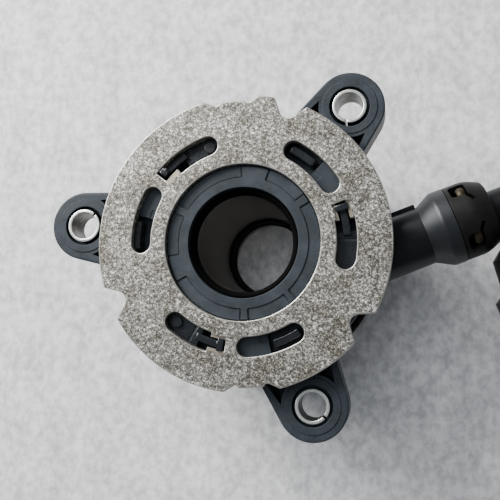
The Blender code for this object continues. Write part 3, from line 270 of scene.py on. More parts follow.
@dataclass(frozen=True)
class ZincCoat(Finish):
    """Pressed steel under a mottled coat of zinc: bright angular flakes on warm grey-brown."""

    flake: float = 0.00040
    speck: float = 0.00030
    cluster: float = 0.0010
    mottle: float = 0.0060
    shares: Triple = (0.30, 0.46, 0.24)
    stops: tuple[tuple[float, Triple], ...] = (
        (0.22, (0.045, 0.042, 0.036)), (0.46, (0.160, 0.154, 0.139)),
        (0.62, (0.335, 0.328, 0.303)), (0.80, (1.0, 0.99, 0.95)))
    brown: Triple = (0.58, 0.555, 0.50)
    metallic: float = 0.5
    depth: float = 0.00016

    def paint(self, shader: Shader) -> None:
        """Sets flakes, clusters and a brownish mottle.

        Args:
            shader: the material's shader.
        """
        flakes = shader.flakes(self.flake)
        specks = shader.noise(self.speck, 3.0, 0.65)
        clusters = shader.noise(self.cluster, 3.0, 0.6)
        mottle = shader.noise(self.mottle, 3.0, 0.6)
        flat, fine, broad = self.shares
        level = flakes * flat + specks.between(0.34, 0.66) * fine + clusters.between(0.34, 0.66) * broad
        tone = shader.ramp(level, self.stops)
        worn = shader.mix(1.0, tone, self.brown, "MULTIPLY")
        colour = shader.mix(mottle.between(0.38, 0.64), tone, worn)
        shader.set(Base_Color=colour, Metallic=self.metallic, Roughness=specks.between(0.3, 0.7, 0.48, 0.34),
                   Normal=shader.bump(specks * 0.7 + clusters * 0.3, self.depth, 0.9))


@dataclass(frozen=True)
class MouldedPlastic(Finish):
    """Glass-filled plastic with a satin sheen, fine grain and faint flow marks."""

    dark: Triple
    light: Triple
    roughness: float
    specular: float = 0.30
    tint: Triple = (1.0, 1.0, 1.0)
    grain: float = 0.00026
    flow: float = 0.005
    depth: float = 0.00003

    def paint(self, shader: Shader) -> None:
        """Sets the grain, the flow marks and a thin bloom.

        Args:
            shader: the material's shader.
        """
        grain = shader.noise(self.grain, 2.0, 0.6)
        flow = shader.noise(self.flow, 4.0, 0.6)
        bloom = flow.between(0.35, 0.72) * 0.5 + grain.between(0.35, 0.65) * 0.5
        shader.set(Base_Color=shader.mix(bloom, self.dark, self.light),
                   Roughness=bloom.between(0, 1, self.roughness - 0.05, self.roughness + 0.09),
                   Specular_IOR_Level=self.specular, Specular_Tint=self.tint,
                   Normal=shader.bump(grain, self.depth, 0.6))


@dataclass(frozen=True)
class BrightZinc(Finish):
    """Bright zinc with faint rolling lines and a thin bloom."""

    colour: Triple
    dull: Triple
    line: float = 0.0004
    patch: float = 0.0018

    def paint(self, shader: Shader) -> None:
        """Sets rolling lines along the piece and soft patches.

        Args:
            shader: the material's shader.
        """
        lines = shader.noise(self.line, 3.0, 0.6, shader.stretched((1.0, 1.0, 0.12)))
        patches = shader.noise(self.patch, 3.0)
        share = patches.between(0.35, 0.75) * 0.6 + lines * 0.3
        shader.set(Base_Color=shader.mix(share, self.colour, self.dull), Metallic=0.9,
                   Roughness=share.between(0, 1, 0.24, 0.46), Normal=shader.bump(lines, 0.00003, 0.5))


@dataclass(frozen=True)
class TurnedSteel(Finish):
    """Steel with fine marks round its axis, and a thin film of oil or oxide in patches."""

    bright: Triple
    dull: Triple
    roughness: float
    metallic: float = 1.0
    mark: float = 0.00022
    patch: float = 0.004

    def paint(self, shader: Shader) -> None:
        """Sets marks that run level round the piece, and the patches.

        Args:
            shader: the material's shader.
        """
        marks = shader.noise(self.mark, 2.0, 0.6, shader.stretched((0.06, 0.06, 1.0)))
        patches = shader.noise(self.patch, 4.0, 0.6)
        share = patches.between(0.35, 0.7) * 0.65 + marks * 0.35
        shader.set(Base_Color=shader.mix(share, self.bright, self.dull), Metallic=self.metallic,
                   Roughness=share.between(0, 1, self.roughness, self.roughness + 0.16),
                   Normal=shader.bump(marks, 0.00001, 0.45))


@dataclass(frozen=True)
class SealRubber(Finish):
    """Black rubber with a dusty bloom and a fine pebbled skin."""

    dark: Triple = (0.008, 0.008, 0.008)
    dusty: Triple = (0.032, 0.031, 0.030)
    roughness: float = 0.62

    def paint(self, shader: Shader) -> None:
        """Sets the skin and its bloom.

        Args:
            shader: the material's shader.
        """
        skin = shader.noise(0.00025, 3.0, 0.6)
        bloom = shader.noise(0.003, 3.0)
        shader.set(Base_Color=shader.mix(bloom.between(0.4, 0.8), self.dark, self.dusty),
                   Roughness=skin.between(0.3, 0.7, self.roughness - 0.08, self.roughness + 0.1),
                   Normal=shader.bump(skin, 0.00002, 0.5))


@dataclass(frozen=True)
class TableTop(Finish):
    """The pale matt floor, faintly mottled."""

    pale: Triple = (0.78, 0.78, 0.785)
    shade: Triple = (0.45, 0.45, 0.46)

    def paint(self, shader: Shader) -> None:
        """Sets two soft sizes of mottle.

        Args:
            shader: the material's shader.
        """
        broad = shader.noise(0.010, 3.0, 0.55, shader.stretched((1.2, 0.85, 1.0)))
        fine = shader.noise(0.0030, 3.0, 0.6, shader.stretched((1.15, 0.9, 1.0)))
        share = broad.between(0.38, 0.62) * 0.35 + fine.between(0.38, 0.62) * 0.65
        shader.set(Base_Color=shader.mix(share, self.pale, self.shade), Roughness=0.72)


COOL_TINT = (0.92, 0.96, 1.0)
ZINC_COAT = ZincCoat("zinc_coated_plate")
# Lighter zinc for the plate's rounded edges: a painted highlight along every edge line, standing in for the
# light that the rounding catches.
EDGE_ZINC_PAINTED_HIGHLIGHT = BrightZinc("edge_zinc_painted_highlight", (0.60, 0.59, 0.55), (0.38, 0.365, 0.325))
LEDGE_ZINC = BrightZinc("coined_ledge_zinc", (0.66, 0.60, 0.48), (0.44, 0.38, 0.28))
# The sleeve is one zinc given two colours: its walls are darkened as painted shade inside the bore, and its
# lips are lightened to near white as a painted highlight.
SLEEVE_ZINC_PAINTED_SHADE = BrightZinc("sleeve_zinc_painted_shade", (0.045, 0.043, 0.035), (0.020, 0.019, 0.015))
LIP_ZINC_PAINTED_HIGHLIGHT = BrightZinc("sleeve_lip_painted_highlight", (0.97, 1.0, 0.96), (0.74, 0.77, 0.71))
HOUSING_PLASTIC = MouldedPlastic(
    "housing_plastic", (0.0135, 0.0175, 0.0215), (0.040, 0.049, 0.058), 0.44, 0.22)
# A darker copy of the housing's plastic for what stands in the slots under the plate: painted shade, since
# these parts lie in the plate's shadow.
POCKET_PLASTIC_PAINTED_SHADE = MouldedPlastic(
    "pocket_plastic_painted_shade", (0.0035, 0.0045, 0.006), (0.011, 0.014, 0.018), 0.24, 0.6)
NECK_PLASTIC = MouldedPlastic(
    "neck_plastic", (0.0026, 0.0028, 0.0031), (0.0055, 0.006, 0.007), 0.38, 0.29, COOL_TINT)
# A lighter, glossier copy of the neck's plastic for the cone and bulge: the lighter colour paints the broad
# highlight band across the cone.
CONE_PLASTIC_PAINTED_HIGHLIGHT = MouldedPlastic(
    "cone_plastic_painted_highlight", (0.0034, 0.0038, 0.0044), (0.0068, 0.0078, 0.0092), 0.43, 0.6, COOL_TINT)
COLLAR_PLASTIC = MouldedPlastic(
    "collar_plastic", (0.0040, 0.0039, 0.0037), (0.0085, 0.0083, 0.0079), 0.48, 0.20)
RETAINER_PLASTIC = MouldedPlastic(
    "retainer_plastic", (0.0010, 0.0010, 0.0010), (0.0020, 0.0020, 0.0020), 0.6, 0.04)
PISTON_PLASTIC = MouldedPlastic("piston_plastic", (0.008, 0.008, 0.009), (0.02, 0.02, 0.021), 0.46)
CARRIER_PLASTIC = MouldedPlastic("carrier_plastic", (0.016, 0.008, 0.006), (0.034, 0.017, 0.012), 0.5)
CAGE_NYLON = MouldedPlastic("cage_nylon", (0.42, 0.38, 0.29), (0.56, 0.51, 0.40), 0.5)
TUBE_STEEL = TurnedSteel("tube_steel", (0.118, 0.100, 0.078), (0.066, 0.057, 0.046), 0.42, 0.7)
BEARING_STEEL = TurnedSteel("bearing_steel", (0.66, 0.66, 0.67), (0.48, 0.47, 0.46), 0.2)
SPRING_STEEL = TurnedSteel("spring_steel", (0.20, 0.20, 0.205), (0.10, 0.098, 0.095), 0.3)
COPPER_WIRE = TurnedSteel("clip_wire_copper", (0.050, 0.036, 0.019), (0.025, 0.018, 0.0095), 0.42, 0.6)
SEAL_RUBBER = SealRubber("seal_rubber")
TABLE_TOP = TableTop("table_top")


def polar(radius: float, angle: float) -> Point:
    """Returns the point at a radius and an angle."""
    return (radius * cos(angle), radius * sin(angle))


def arc(radius: float, start: float, end: float, step: float = radians(2.5),
        centre: Point = (0.0, 0.0)) -> list[Point]:
    """Returns the points of an arc, both ends included.

    Args:
        radius: the arc's radius.
        start: the angle that it starts at.
        end: the angle that it ends at.
        step: about how far its points are apart.
        centre: its centre.
    """
    count = max(1, round(abs(end - start) / step))
    angles = [start + (end - start) * index / count for index in range(count + 1)]
    return [(centre[0] + radius * cos(a), centre[1] + radius * sin(a)) for a in angles]


def turn_points(points: Sequence[Point], angle: float) -> list[Point]:
    """Returns points given as (outwards, sideways), turned to a direction round the axis."""
    return [(u * cos(angle) - v * sin(angle), u * sin(angle) + v * cos(angle)) for u, v in points]


def rounded(outline: Outline) -> list[Vector]:
    """Returns a closed outline's points, with an arc at each corner that names a radius.

    Args:
        outline: each corner's radius and height, and the radius that rounds it, if any.
    """
    corners = [Corner(*corner) for corner in outline]
    result = []
    for index, corner in enumerate(corners):
        here = Vector((corner.radius, corner.height))
        if not corner.round:
            result.append(here)
            continue
        ahead = corners[(index + 1) % len(corners)]
        before = (Vector(corners[index - 1][:2]) - here).normalized()
        after = (Vector(ahead[:2]) - here).normalized()
        half = acos(max(-1.0, min(1.0, before.dot(after)))) / 2
        centre = here + (before + after).normalized() * corner.round / sin(half)
        start = here + before * corner.round / tan(half) - centre
        end = here + after * corner.round / tan(half) - centre
        sweep = start.angle_signed(end)
        for step in range(CORNER_STEPS + 1):
            result.append(centre + Matrix.Rotation(-sweep * step / CORNER_STEPS, 2) @ start)
    return result


class Bench:
    """The modelling bench: adds primitives, shapes them with operators and settles them in place."""

    @staticmethod
    def clear() -> None:
        """Deselects everything."""
        bpy.ops.object.select_all(action="DESELECT")

    @classmethod
    def take(cls, item: Item) -> None:
        """Selects one object alone and makes it active.

        Args:
            item: the object.
        """
        cls.clear()
        item.select_set(True)
        bpy.context.view_layer.objects.active = item

    @classmethod
    @contextmanager
    def editing(cls, item: Item, mode: str = "VERT") -> Iterator[None]:
        """Opens an object in edit mode with all of it selected, and closes it again.

        Args:
            item: the object.
            mode: what is picked: VERT, EDGE or FACE.

        Yields:
            Nothing.
        """
        cls.take(item)
        bpy.ops.object.mode_set(mode="EDIT")
        bpy.ops.mesh.select_mode(type=mode)
        bpy.ops.mesh.select_all(action="SELECT")
        yield
        bpy.ops.object.mode_set(mode="OBJECT")

    @classmethod
    def apply_place(cls, item: Item) -> None:
        """Moves an object's place into its mesh."""
        cls.take(item)
        bpy.ops.object.transform_apply(location=True, rotation=True, scale=True)

    @classmethod
    def added(cls, name: str) -> Item:
        """Names the primitive that was just added and applies its place.

        Args:
            name: its name.

        Returns:
            The primitive.
        """
        item = bpy.context.object
        item.name = name
        cls.apply_place(item)
        return item

    @classmethod
    def close_up(cls, item: Item) -> None:
        """Merges an object's doubles and points its faces outwards.

        Args:
            item: the object.
        """
        with cls.editing(item):
            bpy.ops.mesh.remove_doubles(threshold=MERGE)
            bpy.ops.mesh.normals_make_consistent(inside=False)

    @classmethod
    def modify(cls, item: Item, kind: str, **settings: Any) -> None:
        """Adds a modifier to an object and applies it.

        Args:
            item: the object.
            kind: the modifier's type.
            settings: its settings.
        """
        cls.take(item)
        bpy.ops.object.modifier_add(type=kind)
        step = item.modifiers[-1]
        for key, value in settings.items():
            setattr(step, key, value)
        bpy.ops.object.modifier_apply(modifier=step.name)

    @classmethod
    def turned(cls, name: str, corners: Outline, steps: int = ROUND_STEPS) -> Item:
        """Draws a ring up along an outline, as on a lathe, round the world's Z axis.

        Args:
            name: the piece's name.
            corners: the closed outline.
            steps: how many sides the ring has.

        Returns:
            The turned piece.
        """
        outline = rounded(corners)
        cls.clear()
        bpy.ops.mesh.primitive_circle_add(vertices=steps, radius=outline[0].x, fill_type="NOTHING",
                                          location=(0, 0, outline[0].y))
        item = cls.added(name)
        with cls.editing(item):
            for before, after in zip(outline, outline[1:] + outline[:1]):
                rise = (0, 0, after.y - before.y)
                bpy.ops.mesh.extrude_region_move(TRANSFORM_OT_translate={"value": rise})
                grow = after.x / before.x
                bpy.ops.transform.resize(value=(grow, grow, 1), center_override=(0, 0, after.y))
        cls.close_up(item)
        return item

    @classmethod
    def bent(cls, name: str, radius: float, width: float, heights: Point, span: Point,
             steps: int = BENT_STEPS) -> Item:
        """Spins an upright plane round the Z axis into a bent bar.

        Args:
            name: the piece's name.
            radius: the bar's middle radius.
            width: its width, outwards.
            heights: its bottom and top.
            span: its start and end angle.
            steps: how many flats it has.

        Returns:
            The bar.
        """
        bottom, top = heights
        start, end = span
        cls.clear()
        bpy.ops.mesh.primitive_plane_add(size=1.0, location=(0, 0, 0), rotation=(pi / 2, 0, 0))
        item = cls.added(name)
        with cls.editing(item):
            bpy.ops.transform.resize(value=(width, 1, top - bottom), center_override=(0, 0, 0))
            bpy.ops.transform.translate(value=(radius, 0, (bottom + top) / 2))
            bpy.ops.mesh.spin(steps=steps, dupli=False, angle=start - end, center=(0, 0, 0), axis=(0, 0, 1))
        item.rotation_euler = (0, 0, start)
        cls.apply_place(item)
        cls.close_up(item)
        return item

    @classmethod
    def drawn(cls, name: str, lines: Sequence[Outline], height: float, **settings: Any) -> Item:
        """Draws lines as a curve and makes it a mesh.

        Args:
            name: the piece's name.
            lines: the points of each line, which runs back to its start where the curve is flat.
            height: how high it lies.
            settings: what is set on the curve, its dimensions first.

        Returns:
            The mesh.
        """
        curve = bpy.data.curves.new(name, "CURVE")
        for key, value in settings.items():
            setattr(curve, key, value)
        for line in lines:
            spline = curve.splines.new("POLY")
            spline.points.add(len(line) - 1)
            for point, corner in zip(spline.points, line):
                point.co = (*corner, 1)
            spline.use_cyclic_u = curve.dimensions == "2D"
        item = bpy.data.objects.new(name, curve)
        bpy.context.collection.objects.link(item)
        item.location = (0, 0, height)
        cls.take(item)
        bpy.ops.object.convert(target="MESH")
        item = bpy.context.object
        cls.apply_place(item)
        cls.close_up(item)
        return item

    @classmethod
    def slab(cls, name: str, loops: Sequence[Sequence[Point]], heights: Point, edge: float = 0.0) -> Item:
        """Returns a flat outline with its holes raised into a slab, whose edges an edge radius rounds."""
        flat = [[(x, y, 0) for x, y in loop] for loop in loops]
        return cls.drawn(name, flat, sum(heights) / 2, dimensions="2D", fill_mode="BOTH", offset=-edge,
                         extrude=(heights[1] - heights[0]) / 2 - edge, bevel_depth=edge, bevel_resolution=2)

    @classmethod
    def wire(cls, name: str, points: Outline, radius: float, sides: int) -> Item:
        """Returns a round wire along points, whose section is rounded as finely as sides says."""
        return cls.drawn(name, [points], 0, dimensions="3D", bevel_depth=radius, bevel_resolution=sides,
                         use_fill_caps=True)

    @classmethod
    def block(cls, name: str, size: Triple, place: Matrix) -> Item:
        """Adds a box.

        Args:
            name: its name.
            size: its size along its own axes.
            place: where its middle stands and how it is turned.

        Returns:
            The box.
        """
        cls.clear()
        bpy.ops.mesh.primitive_cube_add(size=1.0)
        bpy.context.object.matrix_world = place @ Matrix.Diagonal((*size, 1.0))
        return cls.added(name)

    @classmethod
    def rod(cls, name: str, radius: float, heights: Point, centre: Point, steps: int = 64) -> Item:
        """Adds an upright rod.

        Args:
            name: its name.
            radius: its radius.
            heights: its bottom and top.
            centre: where it stands.
            steps: how many sides it has.

        Returns:
            The rod.
        """
        bottom, top = heights
        cls.clear()
        bpy.ops.mesh.primitive_cylinder_add(vertices=steps, radius=radius, depth=top - bottom,
                                            location=(*centre, (bottom + top) / 2))
        return cls.added(name)

    @classmethod
    def cut(cls, item: Item, *tools: Item) -> None:
        """Cuts tools that don't touch each other out of a piece, all in one step.

        Args:
            item: the piece.
            tools: the tools, which are gone afterwards.
        """
        cls.take(tools[0])
        for tool in tools:
            tool.select_set(True)
        if len(tools) > 1:
            bpy.ops.object.join()
        cls.modify(item, "BOOLEAN", operation="DIFFERENCE", solver="EXACT", object=tools[0])
        bpy.data.objects.remove(tools[0], do_unlink=True)

    @classmethod
    def bevel(cls, item: Item, width: float, segments: int = 2) -> Item:
        """Rounds a piece's sharp edges and returns it."""
        cls.modify(item, "BEVEL", width=width, segments=segments, limit_method="ANGLE",
                   angle_limit=BEVEL_ANGLE, miter_outer="MITER_ARC")
        return item

    @classmethod
    def dress_faces(cls, item: Item, finish: Finish,
                    wanted: Callable[[bpy.types.MeshPolygon], bool]) -> None:
        """Gives some of a settled piece's faces a finish of their own.

        Args:
            item: the settled piece.
            finish: their finish.
            wanted: tells whether a face is one of them.
        """
        item.data.materials.append(finish.material())
        with cls.editing(item, "FACE"):
            bpy.ops.mesh.select_all(action="DESELECT")
        for face in item.data.polygons:
            face.select = wanted(face)
        bpy.ops.object.mode_set(mode="EDIT")
        item.active_material_index = len(item.data.materials) - 1
        bpy.ops.object.material_slot_assign()
        bpy.ops.object.mode_set(mode="OBJECT")

    @classmethod
    def settle(cls, item: Item, place: Matrix, finish: Finish, slot: Slot, *nodes: str,
               body: Body = Body.HOUSING, smooth: float = SMOOTH_ANGLE) -> None:
        """Puts a finished piece in its place, smooths it, dresses it and sets it on its body.

        Args:
            item: the piece.
            place: where it goes, from where it was modelled.
            finish: its finish.
            slot: the record's material slot; not used.
            nodes: the solids that it stands for.
            body: the body that it rides on.
            smooth: the angle below which its faces are shaded smooth.
        """
        item.matrix_world = place
        cls.apply_place(item)
        bpy.ops.object.shade_smooth_by_angle(angle=smooth)
        cls.modify(item, "WEIGHTED_NORMAL", keep_sharp=True)
        item.data.materials.clear()
        item.data.materials.append(finish.material())
        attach(item, body.value)
        if nodes:
            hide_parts(*nodes)
        LOG.info("%s: %d faces, on %s", item.name, len(item.data.polygons), body.value)


@dataclass(frozen=True)
class Frame:
    """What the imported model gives: the bearing's axis and the port's axis."""

    tube_node: str = "guide_tube"
    swivel: str = "elbow_swivel"
    swivel_station: float = 0.0591

    @property
    def axis(self) -> Vector:
        """The foot of the bearing's axis on the floor."""
        low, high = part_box(self.tube_node)
        return Vector(((low[0] + high[0]) / 2, (low[1] + high[1]) / 2, 0))

    @property
    def upright(self) -> Matrix:
        """The place of what is modelled round the world's Z axis."""
        return Matrix.Translation(self.axis)

    @property
    def port_joint(self) -> dict[str, Any]:
        """The joint that the line's elbow turns on, whose axis is the port's."""
        return next(joint for joint in frame["joints"] if joint["name"] == self.swivel)

    @property
    def port_direction(self) -> Vector:
        """The way that the port points."""
        return Vector(self.port_joint["axis"]).normalized()

    def port(self, station: float = 0.0) -> Matrix:
        """Returns the frame on the port's axis, its Z along the port and its Y up.

        Args:
            station: how far out along the port.
        """
        way = self.port_direction
        side = Vector((-way.y, way.x, 0))
        turn = Matrix((side, Vector((0, 0, 1)), way)).transposed().to_4x4()
        origin = Vector(self.port_joint["pos_m"]) + way * (station - self.swivel_station)
        return Matrix.Translation(origin) @ turn


@dataclass
class SlotPattern:
    """The plate's six bent slots, which the housing's pegs, arms and bars stand under."""

    radius: float = 0.0273
    width: float = 0.0051
    keyed_start: float = radians(109.4)
    keyed_sweep: float = radians(31.4)
    plain_start: float = radians(32.5)
    plain_sweep: float = radians(27.4)

    def keyed(self) -> list[Point]:
        """Returns each keyed slot's start and end angle."""
        starts = [self.keyed_start + index * 2 * pi / 3 for index in range(3)]
        return [(start, start + self.keyed_sweep) for start in starts]

    def plain(self) -> list[Point]:
        """Returns each plain slot's start and end angle."""
        starts = [self.plain_start + index * 2 * pi / 3 for index in range(3)]
        return [(start, start + self.plain_sweep) for start in starts]


@dataclass
class ReinforcingPlate:
    """The zinc-coated steel plate on the gearbox side."""

    place: Frame
    slots: SlotPattern
    radius: float = 0.0390
    hole_radius: float = 0.02057
    bottom: float = 0.0520
    top: float = 0.0550
    edge: float = 0.00028
    edge_highlight_slopes: Point = (0.25, 0.97)
    smooth: float = radians(50)
    window_sweep: float = radians(9.5)
    window_lead: float = radians(1.5)
    window_width: float = 0.0046
    slits: tuple[Point, ...] = ((-0.0006, 0.0025), (-0.0014, 0.0014), (-0.0014, 0.0014))
    ledge_drop: float = 0.0012
    ledge_inset: float = radians(0.3)
    ledge_gap: float = 0.0001
    ledge_rise: float = 0.00006
    notches: tuple[float, ...] = (radians(70.4), radians(204.0), radians(324.6))
    notch_floor: float = 0.0345
    notch_root: float = 0.0024
    notch_opening: float = radians(38.0)
    flats: Point = (radians(94.1), radians(273.9))
    flat_distance: float = 0.0376
    flat_half: float = 0.0032
    relief_radius: float = 0.0011
    relief_floor: float = 0.0368
    relief_ramp: float = 0.0020
    relief_angles: tuple[float, ...] = (50, 75, 105, 130)

    def notch(self) -> list[Point]:
        """Returns a rim notch as (outwards, sideways) points, with a round root."""
        centre = self.notch_floor + self.notch_root
        along = Vector((cos(self.notch_opening), sin(self.notch_opening)))
        foot = Vector((centre, 0)) + Vector((-along.y, along.x)) * self.notch_root
        reach = -foot.dot(along) + sqrt(foot.dot(along) ** 2 - foot.dot(foot) + self.radius ** 2)
        mouth = foot + along * reach
        start = pi / 2 + self.notch_opening
        root = arc(self.notch_root, 2 * pi - start, start, radians(8), (centre, 0))
        return [(mouth.x, -mouth.y)] + root + [(mouth.x, mouth.y)]

    def flat(self) -> list[Point]:
        """Returns a locating flat with its end reliefs as (outwards, sideways) points."""
        middle = self.relief_floor + self.relief_radius
        side = self.flat_half + self.relief_radius
        ramp = side + self.relief_radius + self.relief_ramp
        lean = asin((middle - self.flat_distance) / self.relief_radius)
        half = [(self.flat_distance, side - self.relief_radius * cos(lean))]
        half += [(middle - self.relief_radius * sin(a), side - self.relief_radius * cos(a))
                 for a in map(radians, self.relief_angles)]
        half.append((sqrt(self.radius ** 2 - ramp ** 2), ramp))
        return [(u, -v) for u, v in reversed(half)] + half

    def rim(self) -> list[Point]:
        """Returns the plate's rim, a circle with its notches and locating flats."""
        features = [(angle, self.notch()) for angle in self.notches]
        features += [(angle, self.flat()) for angle in self.flats]
        features.sort(key=lambda feature: feature[0])
        outline = []
        for index, (angle, points) in enumerate(features):
            outline += turn_points(points, angle)
            half = atan2(points[-1][1], points[-1][0])
            after, ahead = features[(index + 1) % len(features)]
            gap_end = after - atan2(ahead[-1][1], ahead[-1][0])
            gap_end += 2 * pi if index + 1 == len(features) else 0
            outline += arc(self.radius, angle + half, gap_end)[1:-1]
        return outline

    def slot_end(self, angle: float, turn: float) -> list[Point]:
        """Returns the round end of a slot at an angle, drawn on from a turn."""
        return arc(self.slots.width / 2, turn, turn + pi, radians(15), polar(self.slots.radius, angle))[1:-1]

    def round_slot(self, start: float, end: float) -> list[Point]:
        """Returns the outline of a plain slot, a bent strip with round ends at two angles."""
        middle, half = self.slots.radius, self.slots.width / 2
        return (arc(middle + half, start, end) + self.slot_end(end, end)
                + arc(middle - half, end, start) + self.slot_end(start, start + pi))

    def keyed_slot(self, index: int) -> list[Point]:
        """Returns a keyed slot's outline, narrow where the snap arm's barb rests.

        Args:
            index: the slot's number.
        """
        start, end = self.slots.keyed()[index]
        inner, outer = self.slits[index]
        middle, half = self.slots.radius, self.slots.width / 2
        narrow = end - self.window_sweep
        return (arc(middle + half, start, narrow) + arc(middle + outer, narrow, end)
                + arc(middle + inner, end, narrow) + arc(middle - half, narrow, start)
                + self.slot_end(start, start + pi))

    def make(self) -> None:
        """Makes the plate and its bright coined ledges."""
        loops = [self.rim(), arc(self.hole_radius, 0, 2 * pi)[:-1]]
        loops += [self.round_slot(*span) for span in self.slots.plain()]
        loops += [self.keyed_slot(index) for index in range(3)]
        plate = Bench.slab("plate", loops, (self.bottom, self.top), self.edge)
        windows = []
        for index, (_, end) in enumerate(self.slots.keyed()):
            span = (end - self.window_sweep - self.window_lead, end)
            windows.append(Bench.bent(f"window_{index}", self.slots.radius, self.window_width,
                                      (self.top - self.ledge_drop, self.top + PAST), span))
        Bench.cut(plate, *windows)
        Bench.settle(plate, self.place.upright, ZINC_COAT, Slot.PLATE, "reinforcing_plate",
                     smooth=self.smooth)
        # The sloping faces of the rounded edges take the lighter zinc: painted edge highlight.
        low, high = self.edge_highlight_slopes
        Bench.dress_faces(plate, EDGE_ZINC_PAINTED_HIGHLIGHT, lambda face: low < face.normal.z < high)
        for index, (_, end) in enumerate(self.slots.keyed()):
            self.make_ledges(index, end)

    def make_ledges(self, index: int, end: float) -> None:
        """Makes the thin bright skin of the ledges beside one snap arm.

        Args:
            index: the slot's number.
            end: the angle of the slot's square end.
        """
        floor = self.top - self.ledge_drop
        heights = (floor - self.ledge_gap, floor + self.ledge_rise)
        span = (end - self.window_sweep + self.ledge_inset, end - self.ledge_inset)
        inner, outer = self.slits[index]
        edge = self.window_width / 2
        for side, low, high in (("inner", -edge, inner), ("outer", outer, edge)):
            if high > low:
                ledge = Bench.bent(f"ledge_{index + 1}_{side}", self.slots.radius + (low + high) / 2,
                                   high - low - self.ledge_gap, heights, span)
                Bench.settle(ledge, self.place.upright, LEDGE_ZINC, Slot.PLATE)


